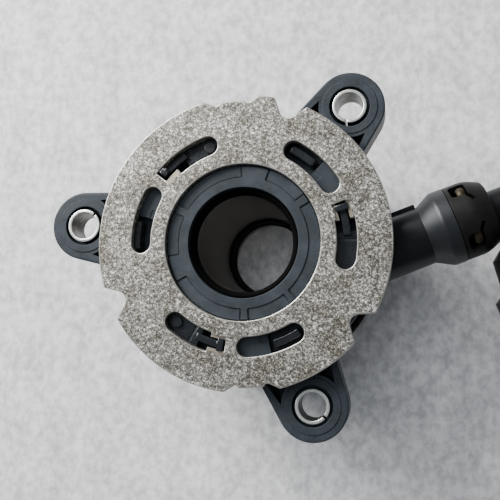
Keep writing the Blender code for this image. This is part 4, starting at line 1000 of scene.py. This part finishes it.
@dataclass
class CylinderHousing:
    """The moulded housing: hub ring, flange, chamber, and what stands in the slots."""

    place: Frame
    slots: SlotPattern
    hub_radius: float = 0.02032
    hub_top: float = 0.0535
    flange_top: float = 0.0517
    flange_radius: float = 0.0350
    rim_radius: float = 0.01465
    underside: Outline = (
        (0.0350, 0.0460, 0.0008), (0.0278, 0.0460, 0.0015), (0.0278, 0.0342, 0.0006), (0.0220, 0.0342),
        (0.0220, 0.0256, 0.0006), (0.0190, 0.0256, 0.0004), (0.0190, 0.0452, 0.0006), (0.01375, 0.0452),
        (0.01375, 0.0484), (0.01465, 0.0484))
    pad_radius: float = 0.0174
    pad_depth: float = 0.00030
    groove_width: float = 0.00026
    groove_depth: float = 0.0006
    end_shift: Point = (0.00003, 0.00002)
    pads: tuple[Point, ...] = (
        (37.5, 69.4), (91.0, 148.7), (156.0, 189.5), (210.0, 268.0), (274.6, 308.0), (313.7, 390.0))
    pocket_floor: float = 0.0471
    reach: float = 0.0059
    past_end: float = radians(6)
    arm_room: float = radians(1)
    peg_radius: float = 0.0015
    peg_heights: tuple[float, ...] = (0.0012, 0.0012, 0.0001)
    peg_edge: float = 0.00018
    bank_rise: float = 0.0002
    bank_edge: float = 0.00015
    seam: float = radians(10.4)
    seam_gap: float = radians(1.3)
    past_step: Point = (radians(5), radians(1))
    far_end: float = radians(15.8)
    arm_sweep: float = radians(17.0)
    arm_shifts: tuple[float, ...] = (0.00125, 0.0, 0.0)
    barb_widths: tuple[float, ...] = (0.0022, 0.0034, 0.0036)
    block_sweep: float = radians(12.0)
    block_depth: float = 0.0015
    block_rise: float = 0.0003
    step_width: float = 0.0027
    step_inset: float = 0.0011
    step_depth: float = 0.0011
    bar_radii: tuple[float, ...] = (0.0277, 0.0293, 0.0276)
    bar_gap: float = radians(2.5)
    bar_sweep: float = radians(15.5)
    bar_width: float = 0.0023
    bar_rise: float = 0.0014
    bar_edge: float = 0.0005

    def make(self) -> None:
        """Makes the turned body with its pads and pockets, and what stands in the pockets."""
        body = Bench.turned("housing_body", [
            (self.hub_radius, self.hub_top, 0.0003), (self.hub_radius, self.flange_top, 0.0003),
            (self.flange_radius, self.flange_top, 0.0004), *self.underside,
            (self.rim_radius, self.hub_top, 0.0002)])
        self.cut_pads(body)
        self.cut_pockets(body)
        Bench.settle(body, self.place.upright, HOUSING_PLASTIC, Slot.MOULDED, "cylinder_housing")
        for index, (start, end) in enumerate(self.slots.keyed()):
            self.make_keyed(index, start, end)
        for index, (start, _) in enumerate(self.slots.plain()):
            self.make_plain(index, start)

    def cut_pads(self, body: Item) -> None:
        """Cuts the hub's six shallow pads and the fine grooves round them.

        Args:
            body: the turned housing.
        """
        outer = self.hub_radius + PAST
        width = outer - self.pad_radius
        middle = (outer + self.pad_radius) / 2
        low = self.hub_top - self.groove_depth
        line = self.groove_width / self.hub_radius
        outwards, down = self.end_shift
        spans = [(radians(start), radians(end)) for start, end in self.pads]
        ends = [(angle - line, angle + line) for span in spans for angle in span]
        for name, radius, across, bottom, places, steps in (
                ("pad", middle, width, self.hub_top - self.pad_depth, spans, 30),
                ("groove", self.pad_radius, self.groove_width, low, spans, 30),
                ("end", middle + outwards, width, low - down, ends, 1)):
            heights = (bottom, self.hub_top + PAST)
            Bench.cut(body, *[Bench.bent(f"{name}_{index}", radius, across, heights, span, steps)
                              for index, span in enumerate(places)])

    def cut_pockets(self, body: Item) -> None:
        """Cuts the pockets under the plate's slots.

        Args:
            body: the turned housing.
        """
        heights = (self.pocket_floor, self.flange_top + PAST)
        deep = [(end - self.arm_sweep, end + self.arm_room) for _, end in self.slots.keyed()]
        deep += [(start + self.block_sweep, end + self.past_end) for start, end in self.slots.plain()]
        Bench.cut(body, *[Bench.bent(f"pocket_{index}", self.slots.radius, self.reach, heights, span)
                          for index, span in enumerate(deep)])

    def stand(self, item: Item, edge: float, finish: Finish = POCKET_PLASTIC_PAINTED_SHADE, segments: int = 2) -> None:
        """Rounds the edges of what stands in a slot and settles it, by default in the darker plastic that
        paints the shade in the slots.
        """
        Bench.settle(Bench.bevel(item, edge, segments), self.place.upright, finish, Slot.MOULDED)

    def make_keyed(self, index: int, start: float, end: float) -> None:
        """Makes the peg, the seamed banks and the snap arm in one keyed slot.

        Args:
            index: the slot's number.
            start: the angle of its round end's centre.
            end: the angle of its square end.
        """
        number = index + 1
        root = self.flange_top - PAST
        peg = Bench.rod(f"peg_{number}", self.peg_radius, (root, self.flange_top + self.peg_heights[index]),
                        polar(self.slots.radius, start), 40)
        self.stand(peg, self.peg_edge)
        seam = start + self.seam
        banks = (("near", (start - self.past_end, seam)),
                 ("far", (seam + self.seam_gap, end - self.far_end)))
        for part, span in banks:
            self.stand(Bench.bent(f"bank_{number}_{part}", self.slots.radius, self.reach,
                                  (root, self.flange_top + self.bank_rise), span), self.bank_edge)
        radius = self.slots.radius + self.arm_shifts[index]
        # Each part's width, heights, degrees before the slot's end, flats and rounding.
        for name, width, heights, sweep, steps, edge in (
                ("snap_arm", 0.0020, (0.0485, 0.0531), (18.0, 1.2), BENT_STEPS, 0.0003),
                ("snap_tip", 0.0017, (0.0520, 0.0543), (5.4, 1.5), 6, 0.00035),
                ("barb", self.barb_widths[index], (0.0541, 0.0547), (4.6, 1.2), 6, 0.0002)):
            span = (end - radians(sweep[0]), end - radians(sweep[1]))
            self.stand(Bench.bent(f"{name}_{number}", radius, width, heights, span, steps), edge)

    def make_plain(self, index: int, start: float) -> None:
        """Makes the stepped block and the thin bar in one plain slot.

        Args:
            index: the slot's number.
            start: the angle of its first end's centre.
        """
        number = index + 1
        end = start + self.block_sweep
        face = self.flange_top
        before, after = self.past_step
        block = Bench.bent(f"block_{number}", self.slots.radius, self.reach,
                           (face - self.block_depth, face + self.block_rise), (start - self.past_end, end))
        step = Bench.bent("step", self.slots.radius - self.reach / 2 + self.step_inset, self.step_width,
                          (face - self.step_depth, face + PAST), (end - before, end + after), 4)
        Bench.cut(block, step)
        self.stand(block, self.bank_edge, HOUSING_PLASTIC)
        bar_start = end + self.bar_gap
        bar = Bench.bent(f"bar_{number}", self.bar_radii[index], self.bar_width,
                         (self.pocket_floor - PAST, face + self.bar_rise),
                         (bar_start, bar_start + self.bar_sweep))
        self.stand(bar, self.bar_edge, segments=3)


@dataclass
class FixingEars:
    """The housing's three ears with their bosses, side pockets and rolled sleeves."""

    place: Frame
    angles: tuple[float, ...] = (radians(52.4), radians(172.4), radians(-67.6))
    pitch: float = 0.0460
    radius: float = 0.0094
    top: float = 0.0485
    bottom: float = 0.0391
    root_radius: float = 0.0320
    root_half: float = 0.0110
    inner: float = 0.0225
    wall: float = 0.0018
    edge: float = 0.0005
    boss_radius: float = 0.0074
    boss_rise: float = 0.00025
    boss_root: float = 0.0010
    boss_wall: float = 0.0006
    boss_lift: float = 0.0002
    pocket_depth: float = 0.0070
    pocket_root: float = 0.0356
    sink_radius: float = 0.00535
    sink_depth: float = 0.0032
    sink_gap: float = 0.0004
    hole: float = 0.00460
    sleeve_outer: float = 0.00455
    sleeve_wall: float = 0.00090
    sleeve_edge: float = 0.0002
    sleeve_split: float = 0.0006
    lip_highlight_slope: float = 0.25
    splits: tuple[float, ...] = (radians(257.0), radians(46.0), radians(-40.0))

    def outline(self) -> list[Point]:
        """Returns an ear seen from above, as (outwards, sideways) points."""
        lean = asin((self.root_half - self.radius) / (self.pitch - self.root_radius))
        head = arc(self.radius, -pi / 2 + lean, pi / 2 - lean, radians(5), (self.pitch, 0))
        root = self.root_half * cos(lean)
        foot = self.root_radius + self.root_half * sin(lean)
        return [(self.inner, -root), (foot, -root)] + head + [(foot, root), (self.inner, root)]

    def pocket(self, side: int) -> list[Point]:
        """Returns the hollow between the boss and one side wall.

        Args:
            side: 1 or -1.
        """
        boss = self.boss_radius + self.wall / 2
        reach = asin((self.radius - self.wall) / boss)
        bend = arc(boss, pi - reach, pi - radians(20), radians(6), (self.pitch, 0))
        points = [(self.pocket_root, self.root_half - self.wall)] + bend + [(self.pocket_root, bend[-1][1])]
        return [(u, v * side) for u, v in points]

    def make(self) -> None:
        """Makes the ears, their bosses and their sleeves."""
        for index, angle in enumerate(self.angles):
            self.make_ear(index + 1, angle)
            self.make_sleeve(index, angle)

    def make_ear(self, number: int, angle: float) -> None:
        """Makes one ear with its boss.

        Args:
            number: the ear's number.
            angle: its direction.
        """
        centre = polar(self.pitch, angle)
        ear = Bench.slab(f"ear_{number}", [turn_points(self.outline(), angle)], (self.bottom, self.top),
                         self.edge)
        Bench.cut(ear, *[Bench.slab(f"hollow_{side}", [turn_points(self.pocket(side), angle)],
                                    (self.top - self.pocket_depth, self.top + PAST)) for side in (1, -1)])
        Bench.cut(ear, Bench.rod("bolt_hole", self.sink_radius + self.sink_gap,
                                 (self.bottom - PAST, self.top + PAST), centre))
        Bench.settle(ear, self.place.upright, HOUSING_PLASTIC, Slot.MOULDED)
        face = self.top + self.boss_rise
        floor = face - self.sink_depth
        foot = self.bottom + self.boss_lift
        neck = self.sink_radius + self.boss_wall
        boss = Bench.turned(f"boss_{number}", [
            (self.boss_radius, face, 0.00015), (self.boss_radius, floor - self.boss_root),
            (neck, floor - self.boss_root), (neck, foot), (self.hole, foot), (self.hole, floor),
            (self.sink_radius, floor), (self.sink_radius, face, 0.0002)], 96)
        Bench.settle(boss, self.place.upright @ Matrix.Translation((*centre, 0)), HOUSING_PLASTIC,
                     Slot.MOULDED)

    def make_sleeve(self, index: int, angle: float) -> None:
        """Makes one rolled and split sleeve with rounded lips.

        Args:
            index: its number, from 0.
            angle: its ear's direction.
        """
        node = f"ear_sleeve_{index + 1}"
        low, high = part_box(node)
        half = self.sleeve_split / 2 / self.sleeve_outer
        start = self.splits[index] + half
        end = self.splits[index] + 2 * pi - half
        centre = polar(self.pitch, angle)
        inner = self.sleeve_outer - self.sleeve_wall
        outline = (arc(self.sleeve_outer, start, end, radians(6), centre)
                   + arc(inner, end, start, radians(6), centre))
        sleeve = Bench.slab(f"sleeve_{index + 1}", [outline], (low[2], high[2]), self.sleeve_edge)
        Bench.settle(sleeve, self.place.upright, SLEEVE_ZINC_PAINTED_SHADE, Slot.SLEEVE, node)
        # Faces that look up, the lips, take the near-white zinc as a painted highlight; the walls keep the
        # darkened zinc as painted shade.
        Bench.dress_faces(sleeve, LIP_ZINC_PAINTED_HIGHLIGHT, lambda face: face.normal.z > self.lip_highlight_slope)


@dataclass
class PortAndLine:
    """The tangential port, its collar with the wire clip, and the line's ribbed elbow."""

    place: Frame
    neck_radius: float = 0.0077
    neck_root_radius: float = 0.0083
    neck_root: float = 0.0140
    flat_end: float = 0.0405
    flat_slope: float = radians(-2.6)
    flat_lean: float = radians(6.0)
    flat_block: Triple = (0.03, 0.004, 0.05)
    rib_width: float = 0.0016
    rib_height: float = 0.0030
    rib_root: float = 0.0270
    rib_sink: float = 0.0003
    cone_start: float = 0.0452
    cone_end: float = 0.0496
    bulge_radius: float = 0.0101
    bulge_end: float = 0.0529
    spigot_radius: float = 0.0076
    spigot_end: float = 0.0545
    socket_radius: float = 0.0054
    socket_start: float = 0.0485
    channel: float = 0.0016
    chamber_radius: float = 0.0193
    chamber_heights: Point = (0.02, 0.0455)
    collar_radius: float = 0.0100
    collar_end: float = 0.0630
    collar_wall: float = 0.0020
    collar_crown: float = 0.0588
    collar_tip: float = 0.0081
    collar_gap: float = 0.00012
    clearance: float = 0.0003
    clip_station: float = 0.0568
    clip_wire: float = 0.0007
    clip_flat: float = 1.6
    clip_corner: float = 0.0092
    clip_bend: float = 0.0018
    clip_groove: float = 0.0089
    clip_turn: float = radians(-42.0)
    clip_gap: float = 0.0016
    window_across: float = 0.0048
    window_along: float = 0.0042
    window_station: float = 0.0562
    tail_across: float = 0.0032
    tail_along: float = 0.0010
    tail_slant: float = radians(32.0)
    elbow_offset: float = 0.0740
    elbow_neck: float = 0.0050
    elbow_head: float = 0.0140
    elbow_radius: float = 0.0081
    elbow_leg: float = 0.0390
    pipe_overlap: float = 0.0006
    pipe: Outline = (
        (0.0051, 0.0557), (0.0073, 0.0557), (0.0073, 0.0547), (0.0051, 0.0547), (0.0051, 0.0544),
        (0.0033, 0.0544), (0.0033, 0.0526), (0.0051, 0.0526), (0.0051, 0.0492, 0.0004), (0.0016, 0.0492))
    ridges: tuple[tuple[float, float, float, float], ...] = (
        (0.0170, 0.0097, 0.0028, 0.0060), (0.0280, 0.0093, 0.0018, 0.0032))

    def make(self) -> None:
        """Makes the neck, the collar, the clip and the elbow."""
        self.make_neck()
        self.make_collar()
        self.make_clip()
        self.make_elbow()

    def make_neck(self) -> None:
        """Makes the port's neck and bulge, cut clear of the chamber, with a flat on top and a rib."""
        neck = Bench.turned("port_neck", [
            (self.spigot_radius, self.spigot_end, 0.0003), (self.spigot_radius, self.bulge_end),
            (self.bulge_radius, self.bulge_end, 0.00018), (self.bulge_radius, self.cone_end, 0.0020),
            (self.neck_radius, self.cone_start, 0.0003), (self.neck_root_radius, self.neck_root),
            (self.channel, self.neck_root), (self.channel, self.socket_start),
            (self.socket_radius, self.socket_start), (self.socket_radius, self.spigot_end, 0.0003)], 120)
        neck.matrix_world = self.place.port()
        Bench.apply_place(neck)
        axis = self.place.axis
        room = Bench.rod("chamber_room", self.chamber_radius, self.chamber_heights, (axis.x, axis.y))
        Bench.cut(neck, room)
        lean = Matrix.Rotation(self.flat_slope, 4, "X") @ Matrix.Rotation(self.flat_lean, 4, "Z")
        _, thick, long = self.flat_block
        lean @= Matrix.Translation((0, self.neck_radius + thick / 2, -long / 2))
        Bench.cut(neck, Bench.block("neck_flat", self.flat_block, self.place.port(self.flat_end) @ lean))
        Bench.settle(neck, Matrix.Identity(4), NECK_PLASTIC, Slot.MOULDED)
        root = self.place.port().translation
        way = self.place.port_direction
        # The cone and bulge faces take the lighter copy of the neck's plastic: a painted highlight band.
        Bench.dress_faces(neck, CONE_PLASTIC_PAINTED_HIGHLIGHT, lambda face: (
            self.cone_start < (face.center - root).dot(way) < self.bulge_end))
        start, end = self.rib_root, self.cone_start
        place = Matrix.Translation((self.neck_radius + self.rib_sink, 0, (start + end) / 2))
        rib = Bench.block("port_rib", (self.rib_width, self.rib_height, end - start), place)
        Bench.settle(Bench.bevel(rib, 0.0003), self.place.port(), NECK_PLASTIC, Slot.MOULDED)

    def window_turn(self, index: int) -> float:
        """Returns the turn of a collar window round the port's axis, from the level side."""
        return pi / 2 - self.clip_turn + index * pi / 2

    def make_collar(self) -> None:
        """Makes the collar and its four keyhole windows."""
        start = self.bulge_end + self.collar_gap
        inner = self.spigot_radius + self.clearance
        floor = self.collar_end - self.collar_wall
        groove = self.clip_wire * self.clip_flat + self.clearance
        low, high = self.clip_station - groove, self.clip_station + groove
        collar = Bench.turned("collar", [
            (self.socket_radius, self.collar_end), (self.collar_tip, self.collar_end, 0.0011),
            (self.collar_radius, self.collar_crown, 0.0080), (self.collar_radius, start, 0.00018),
            (inner, start), (inner, low), (self.clip_groove, low), (self.clip_groove, high),
            (inner, high), (inner, floor), (self.socket_radius, floor)], 120)
        middle = (inner + self.collar_radius) / 2
        depth = self.collar_radius - inner + 2 * PAST
        windows = []
        tails = []
        for index in range(4):
            turn = Matrix.Translation((0, 0, self.window_station))
            turn @= Matrix.Rotation(self.window_turn(index), 4, "Z")
            window = Bench.block(f"window_{index}", (depth, self.window_across, self.window_along),
                                 turn @ Matrix.Translation((middle, 0, 0)))
            windows.append(Bench.bevel(window, 0.0009, segments=3))
            side = 1 if index % 2 else -1
            reach = (self.window_across + 0.5 * self.tail_across) / 2 / self.collar_radius
            turn @= Matrix.Rotation(side * reach, 4, "Z")
            turn @= Matrix.Translation((middle, 0, self.window_along / 2))
            tail = Bench.block(f"tail_{index}", (depth, self.tail_across, self.tail_along),
                               turn @ Matrix.Rotation(side * self.tail_slant, 4, "X"))
            tails.append(Bench.bevel(tail, 0.0003))
        Bench.cut(collar, *windows)
        Bench.cut(collar, *tails)
        Bench.settle(collar, self.place.port(), COLLAR_PLASTIC, Slot.DARK, "port_collar")

    def make_clip(self) -> None:
        """Makes the square wire clip."""
        reach = self.clip_corner - self.clip_bend
        points = []
        for index in range(4):
            angle = self.window_turn(index)
            points += arc(self.clip_bend, angle - pi / 4, angle + pi / 4, radians(9), polar(reach, angle))
        first = Vector(points[0])
        last = Vector(points[-1])
        along = (first - last).normalized() * self.clip_gap / 2
        middle = (first + last) / 2
        path = [tuple(middle + along)] + points + [tuple(middle - along)]
        clip = Bench.wire("clip", [(x, y, 0) for x, y in path], self.clip_wire, 3)
        clip.scale.z = self.clip_flat
        Bench.apply_place(clip)
        Bench.settle(clip, self.place.port(self.clip_station), COPPER_WIRE, Slot.CLIP, "line_clip")

    def make_elbow(self) -> None:
        """Makes the elbow: a spigot in the port and a ribbed leg that hangs off it."""
        way = self.place.port_direction
        foot = self.place.port().translation
        station = (self.place.axis.x + self.elbow_offset - foot.x) / way.x
        end = station + self.pipe_overlap
        outline = [(self.pipe[0][0], end), *self.pipe, (self.channel, end)]
        pipe = Bench.turned("elbow_spigot", outline, 80)
        Bench.settle(pipe, self.place.port(), NECK_PLASTIC, Slot.DARK, "line_elbow", body=Body.LINE)
        neck, full = self.elbow_neck, self.elbow_radius
        leg = [(self.channel, sqrt(neck ** 2 - self.channel ** 2))]
        leg += [(neck * sin(a), neck * cos(a)) for a in map(radians, (30, 45, 60, 75))]
        leg += [(neck, 0.0), (neck, -self.elbow_head, 0.0004)]
        for middle, radius, before, after in self.ridges:
            leg += [(full, before - middle, 0.0001), (radius, -middle, 0.0004)]
            leg.append((full, -middle - after, 0.0008))
        leg += [(full, -self.elbow_leg, 0.0008), (self.channel, -self.elbow_leg)]
        place = Matrix.Translation(foot + way * station) @ Matrix.Rotation(-pi / 2, 4, "X")
        Bench.settle(Bench.turned("elbow_leg", leg, 96), place, NECK_PLASTIC, Slot.DARK, body=Body.LINE)


@dataclass
class GuideTube:
    """The guide tube with its retainer and the shaft's wiper."""

    place: Frame
    tube: Outline = (
        (0.01285, 0.0493, 0.0003), (0.0142, 0.0493, 0.0002), (0.0142, 0.0487), (0.01345, 0.0487),
        (0.01345, 0.0020, 0.0002), (0.01285, 0.0020, 0.0002))
    retainer: Outline = (
        (0.01292, 0.0502, 0.0002), (0.01345, 0.0503), (0.01355, 0.0514, 0.0002),
        (0.01435, 0.0514, 0.0002), (0.01435, 0.0496), (0.01292, 0.0496, 0.0001))
    wiper: Outline = (
        (0.01175, 0.0063, 0.0002), (0.01255, 0.0063, 0.0002), (0.01255, 0.0023), (0.01145, 0.0023, 0.0001),
        (0.01125, 0.0030, 0.00015), (0.01165, 0.0034, 0.0001), (0.01175, 0.0033, 0.0002))

    def make(self) -> None:
        """Makes the tube, its retainer and the wiper."""
        for name, outline, finish, slot, node in (
                ("tube", self.tube, TUBE_STEEL, Slot.TUBE, "guide_tube"),
                ("retainer", self.retainer, RETAINER_PLASTIC, Slot.DARK, "tube_retainer"),
                ("wiper", self.wiper, SEAL_RUBBER, Slot.RUBBER, "shaft_wiper")):
            Bench.settle(Bench.turned(name, outline), self.place.upright, finish, slot, node)


@dataclass
class ReleaseGroup:
    """What moves on the tube: piston, carrier cup and ball bearing, with the spring that pushes them."""

    place: Frame
    travel: float = 0.0080
    ball_pitch: float = 0.0240
    ball_height: float = 0.0084
    race_radius: float = 0.0033
    piston: Outline = (
        (0.01375, 0.0289, 0.0003), (0.0187, 0.0289, 0.0004), (0.0187, 0.0173, 0.0003),
        (0.0225, 0.0173, 0.0003), (0.0225, 0.0155, 0.0003), (0.01375, 0.0155, 0.0003))
    carrier: Outline = (
        (0.0165, 0.0152, 0.0003), (0.0343, 0.0152, 0.0004), (0.0343, 0.0175, 0.0003),
        (0.0355, 0.0175, 0.0003), (0.0355, 0.0137, 0.0006), (0.0330, 0.0137, 0.0005),
        (0.0330, 0.0018, 0.0004), (0.0313, 0.0018, 0.0003), (0.0313, 0.0020), (0.0322, 0.0020),
        (0.0322, 0.0038), (0.0313, 0.0038), (0.0313, 0.0137), (0.0165, 0.0137, 0.0003))
    outer_ring: Outline = (
        (0.0271, 0.0134, 0.0002), (0.0310, 0.0134, 0.0005), (0.0310, 0.0038, 0.0005),
        (0.0271, 0.0038, 0.0002))
    inner_top: Outline = ((0.0160, 0.0131, 0.0003), (0.0209, 0.0131, 0.0002))
    inner_flange: Outline = (
        (0.0209, 0.0028, 0.0003), (0.0290, 0.0028, 0.0003), (0.0290, 0.00175, 0.0008),
        (0.0262, 0.0, 0.0030), (0.0167, 0.0, 0.0006), (0.0160, 0.0007, 0.0004))
    shield: Outline = (
        (0.0212, 0.0, 0.0001), (0.0268, 0.0, 0.0001), (0.0268, -0.0006, 0.0001), (0.0255, -0.0006),
        (0.0252, -0.00045), (0.0228, -0.00045), (0.0225, -0.0006), (0.0212, -0.0006, 0.0001))
    shield_tops: Point = (0.0131, 0.0044)
    spring_wire: float = 0.0012
    spring_turns: float = 4.5
    spring_flat: float = 0.75
    spring_bottom: float = 0.0155
    spring_top: float = 0.0339
    spring_radii: Point = (0.0300, 0.0250)
    spring_steps: int = 48
    inner_nodes: tuple[tuple[str, Finish], ...] = (
        ("piston_seal", SEAL_RUBBER), ("tube_o_ring", SEAL_RUBBER), ("elbow_o_ring", SEAL_RUBBER),
        ("ball_cage", CAGE_NYLON), ("snap_ring", SPRING_STEEL))

    def race(self, land: float, side: int) -> list[Point]:
        """Returns the raceway beside the balls, from the top down.

        Args:
            land: the radius of the ring's land.
            side: 1 outside the balls, -1 inside.
        """
        half = acos(abs(land - self.ball_pitch) / self.race_radius)
        angles = [half - 2 * half * index / 10 for index in range(11)]
        return [(self.ball_pitch + side * self.race_radius * cos(a),
                 self.ball_height + self.race_radius * sin(a)) for a in angles]

    def make(self) -> None:
        """Makes the piston, the carrier, the bearing and the spring, and dresses what stays."""
        outer = [*self.outer_ring, *reversed(self.race(self.outer_ring[-1][0], 1))]
        inner = [*self.inner_top, *self.race(self.inner_top[-1][0], -1), *self.inner_flange]
        upper, lower = [[(radius, top + height, *edge) for radius, height, *edge in self.shield]
                        for top in self.shield_tops]
        for name, outline, finish, slot, node, body in (
                ("piston", self.piston, PISTON_PLASTIC, Slot.DARK, "annular_piston", Body.PISTON),
                ("carrier", self.carrier, CARRIER_PLASTIC, Slot.DARK, "bearing_carrier", Body.PISTON),
                ("outer_ring", outer, BEARING_STEEL, Slot.BEARING, "bearing_outer_ring", Body.PISTON),
                ("inner_ring", inner, BEARING_STEEL, Slot.BEARING, "bearing_inner_ring", Body.CONTACT),
                ("upper_shield_skin", upper, SEAL_RUBBER, Slot.RUBBER, "upper_shield", Body.PISTON),
                ("lower_shield_skin", lower, SEAL_RUBBER, Slot.RUBBER, "lower_shield", Body.PISTON)):
            Bench.settle(Bench.turned(name, outline), self.place.upright, finish, slot, node, body=body)
        self.make_spring()
        for node, finish in self.inner_nodes:
            dress(node, finish)
        for node in frame["nodes"]:
            if node.startswith("ball_") and node != "ball_cage":
                dress(node, BEARING_STEEL)

    def make_spring(self) -> None:
        """Makes the conical spring at one fixed length, though the real one shortens as the piston goes in.
        """
        low = self.spring_bottom + self.spring_wire
        high = self.spring_top - self.spring_wire
        wide, narrow = self.spring_radii
        count = round(self.spring_turns * self.spring_steps)
        points = []
        for index in range(count + 1):
            turns = self.spring_turns * index / count
            share = (turns - self.spring_flat) / (self.spring_turns - 2 * self.spring_flat)
            share = max(0.0, min(1.0, share))
            radius = wide + (narrow - wide) * turns / self.spring_turns
            points.append((*polar(radius, 2 * pi * turns), low + (high - low) * share))
        spring = Bench.wire("spring", points, self.spring_wire, 4)
        Bench.settle(spring, self.place.upright, SPRING_STEEL, Slot.SPRING, "preload_spring")
        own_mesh(spring)


def dress(node: str, finish: Finish) -> None:
    """Gives a solid of the frame its finish.

    Args:
        node: the solid's name.
        finish: the finish.
    """
    item = frame["nodes"][node]
    item.data.materials.clear()
    item.data.materials.append(finish.material())
    LOG.info("%s: dressed in %s", node, finish.name)


@dataclass(frozen=True)
class Lamp:
    """A soft round light that faces the part."""

    name: str
    place: Triple
    size: float
    power: float
    colour: Triple
    mirrored: bool = True

    def hang(self) -> None:
        """Adds the light."""
        Bench.clear()
        bpy.ops.object.light_add(type="AREA", location=self.place)
        light = bpy.context.object
        light.name = self.name
        light.data.shape = "DISK"
        light.data.size = self.size
        light.data.energy = self.power
        light.data.color = self.colour
        light.rotation_euler = (-Vector(self.place)).to_track_quat("-Z", "Y").to_euler()
        light.visible_glossy = self.mirrored


@dataclass
class Studio:
    """The pale floor, the soft light from the upper left and the camera."""

    position: Triple = (0.02415, -0.02126, 0.2599)
    view: Triple = (-0.1732, 0.1054, -0.9793)
    lens: float = 58.11
    sensor: float = 36.0
    clip_start: float = 0.01
    floor_size: float = 3.0
    lamps: tuple[Lamp, ...] = (
        Lamp("key", (-0.345, 0.317, 0.36), 0.38, 8.0, (1.0, 0.99, 0.975)),
        Lamp("top", (-0.14, 0.20, 0.90), 0.7, 4.5, (0.94, 0.97, 1.0), mirrored=False))
    sky: Triple = (0.82, 0.86, 0.92)
    sky_strength: float = 0.27

    def make(self) -> None:
        """Sets up floor, lights, sky and camera."""
        Bench.clear()
        bpy.ops.mesh.primitive_plane_add(size=self.floor_size, location=(0, 0, 0))
        floor = bpy.context.object
        floor.name = "floor"
        floor.data.materials.append(TABLE_TOP.material())
        for lamp in self.lamps:
            lamp.hang()
        world = bpy.data.worlds.new("studio_sky")
        world.use_nodes = True
        back = world.node_tree.nodes["Background"]
        back.inputs["Color"].default_value = (*self.sky, 1.0)
        back.inputs["Strength"].default_value = self.sky_strength
        bpy.context.scene.world = world
        self.add_camera()

    def add_camera(self) -> None:
        """Adds the camera, whose picture's upright edge runs along the part's Y axis."""
        view = Vector(self.view).normalized()
        right = view.cross(Vector((0, 1, 0))).normalized()
        up = right.cross(view)
        data = bpy.data.cameras.new("camera")
        data.lens = self.lens
        data.sensor_width = self.sensor
        data.clip_start = self.clip_start
        camera = bpy.data.objects.new("camera", data)
        bpy.context.collection.objects.link(camera)
        turn = Matrix((right, up, -view)).transposed().to_4x4()
        camera.matrix_world = Matrix.Translation(self.position) @ turn
        bpy.context.scene.camera = camera


def main() -> None:
    """Builds the dressed part and the studio."""
    logging.basicConfig(level=logging.INFO, format="%(message)s")
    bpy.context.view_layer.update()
    place = Frame()
    slots = SlotPattern()
    for group in (ReinforcingPlate(place, slots), CylinderHousing(place, slots), FixingEars(place),
                  PortAndLine(place), GuideTube(place), ReleaseGroup(place), Studio()):
        LOG.info("making %s", type(group).__name__)
        group.make()


if __name__ == "__main__":
    main()
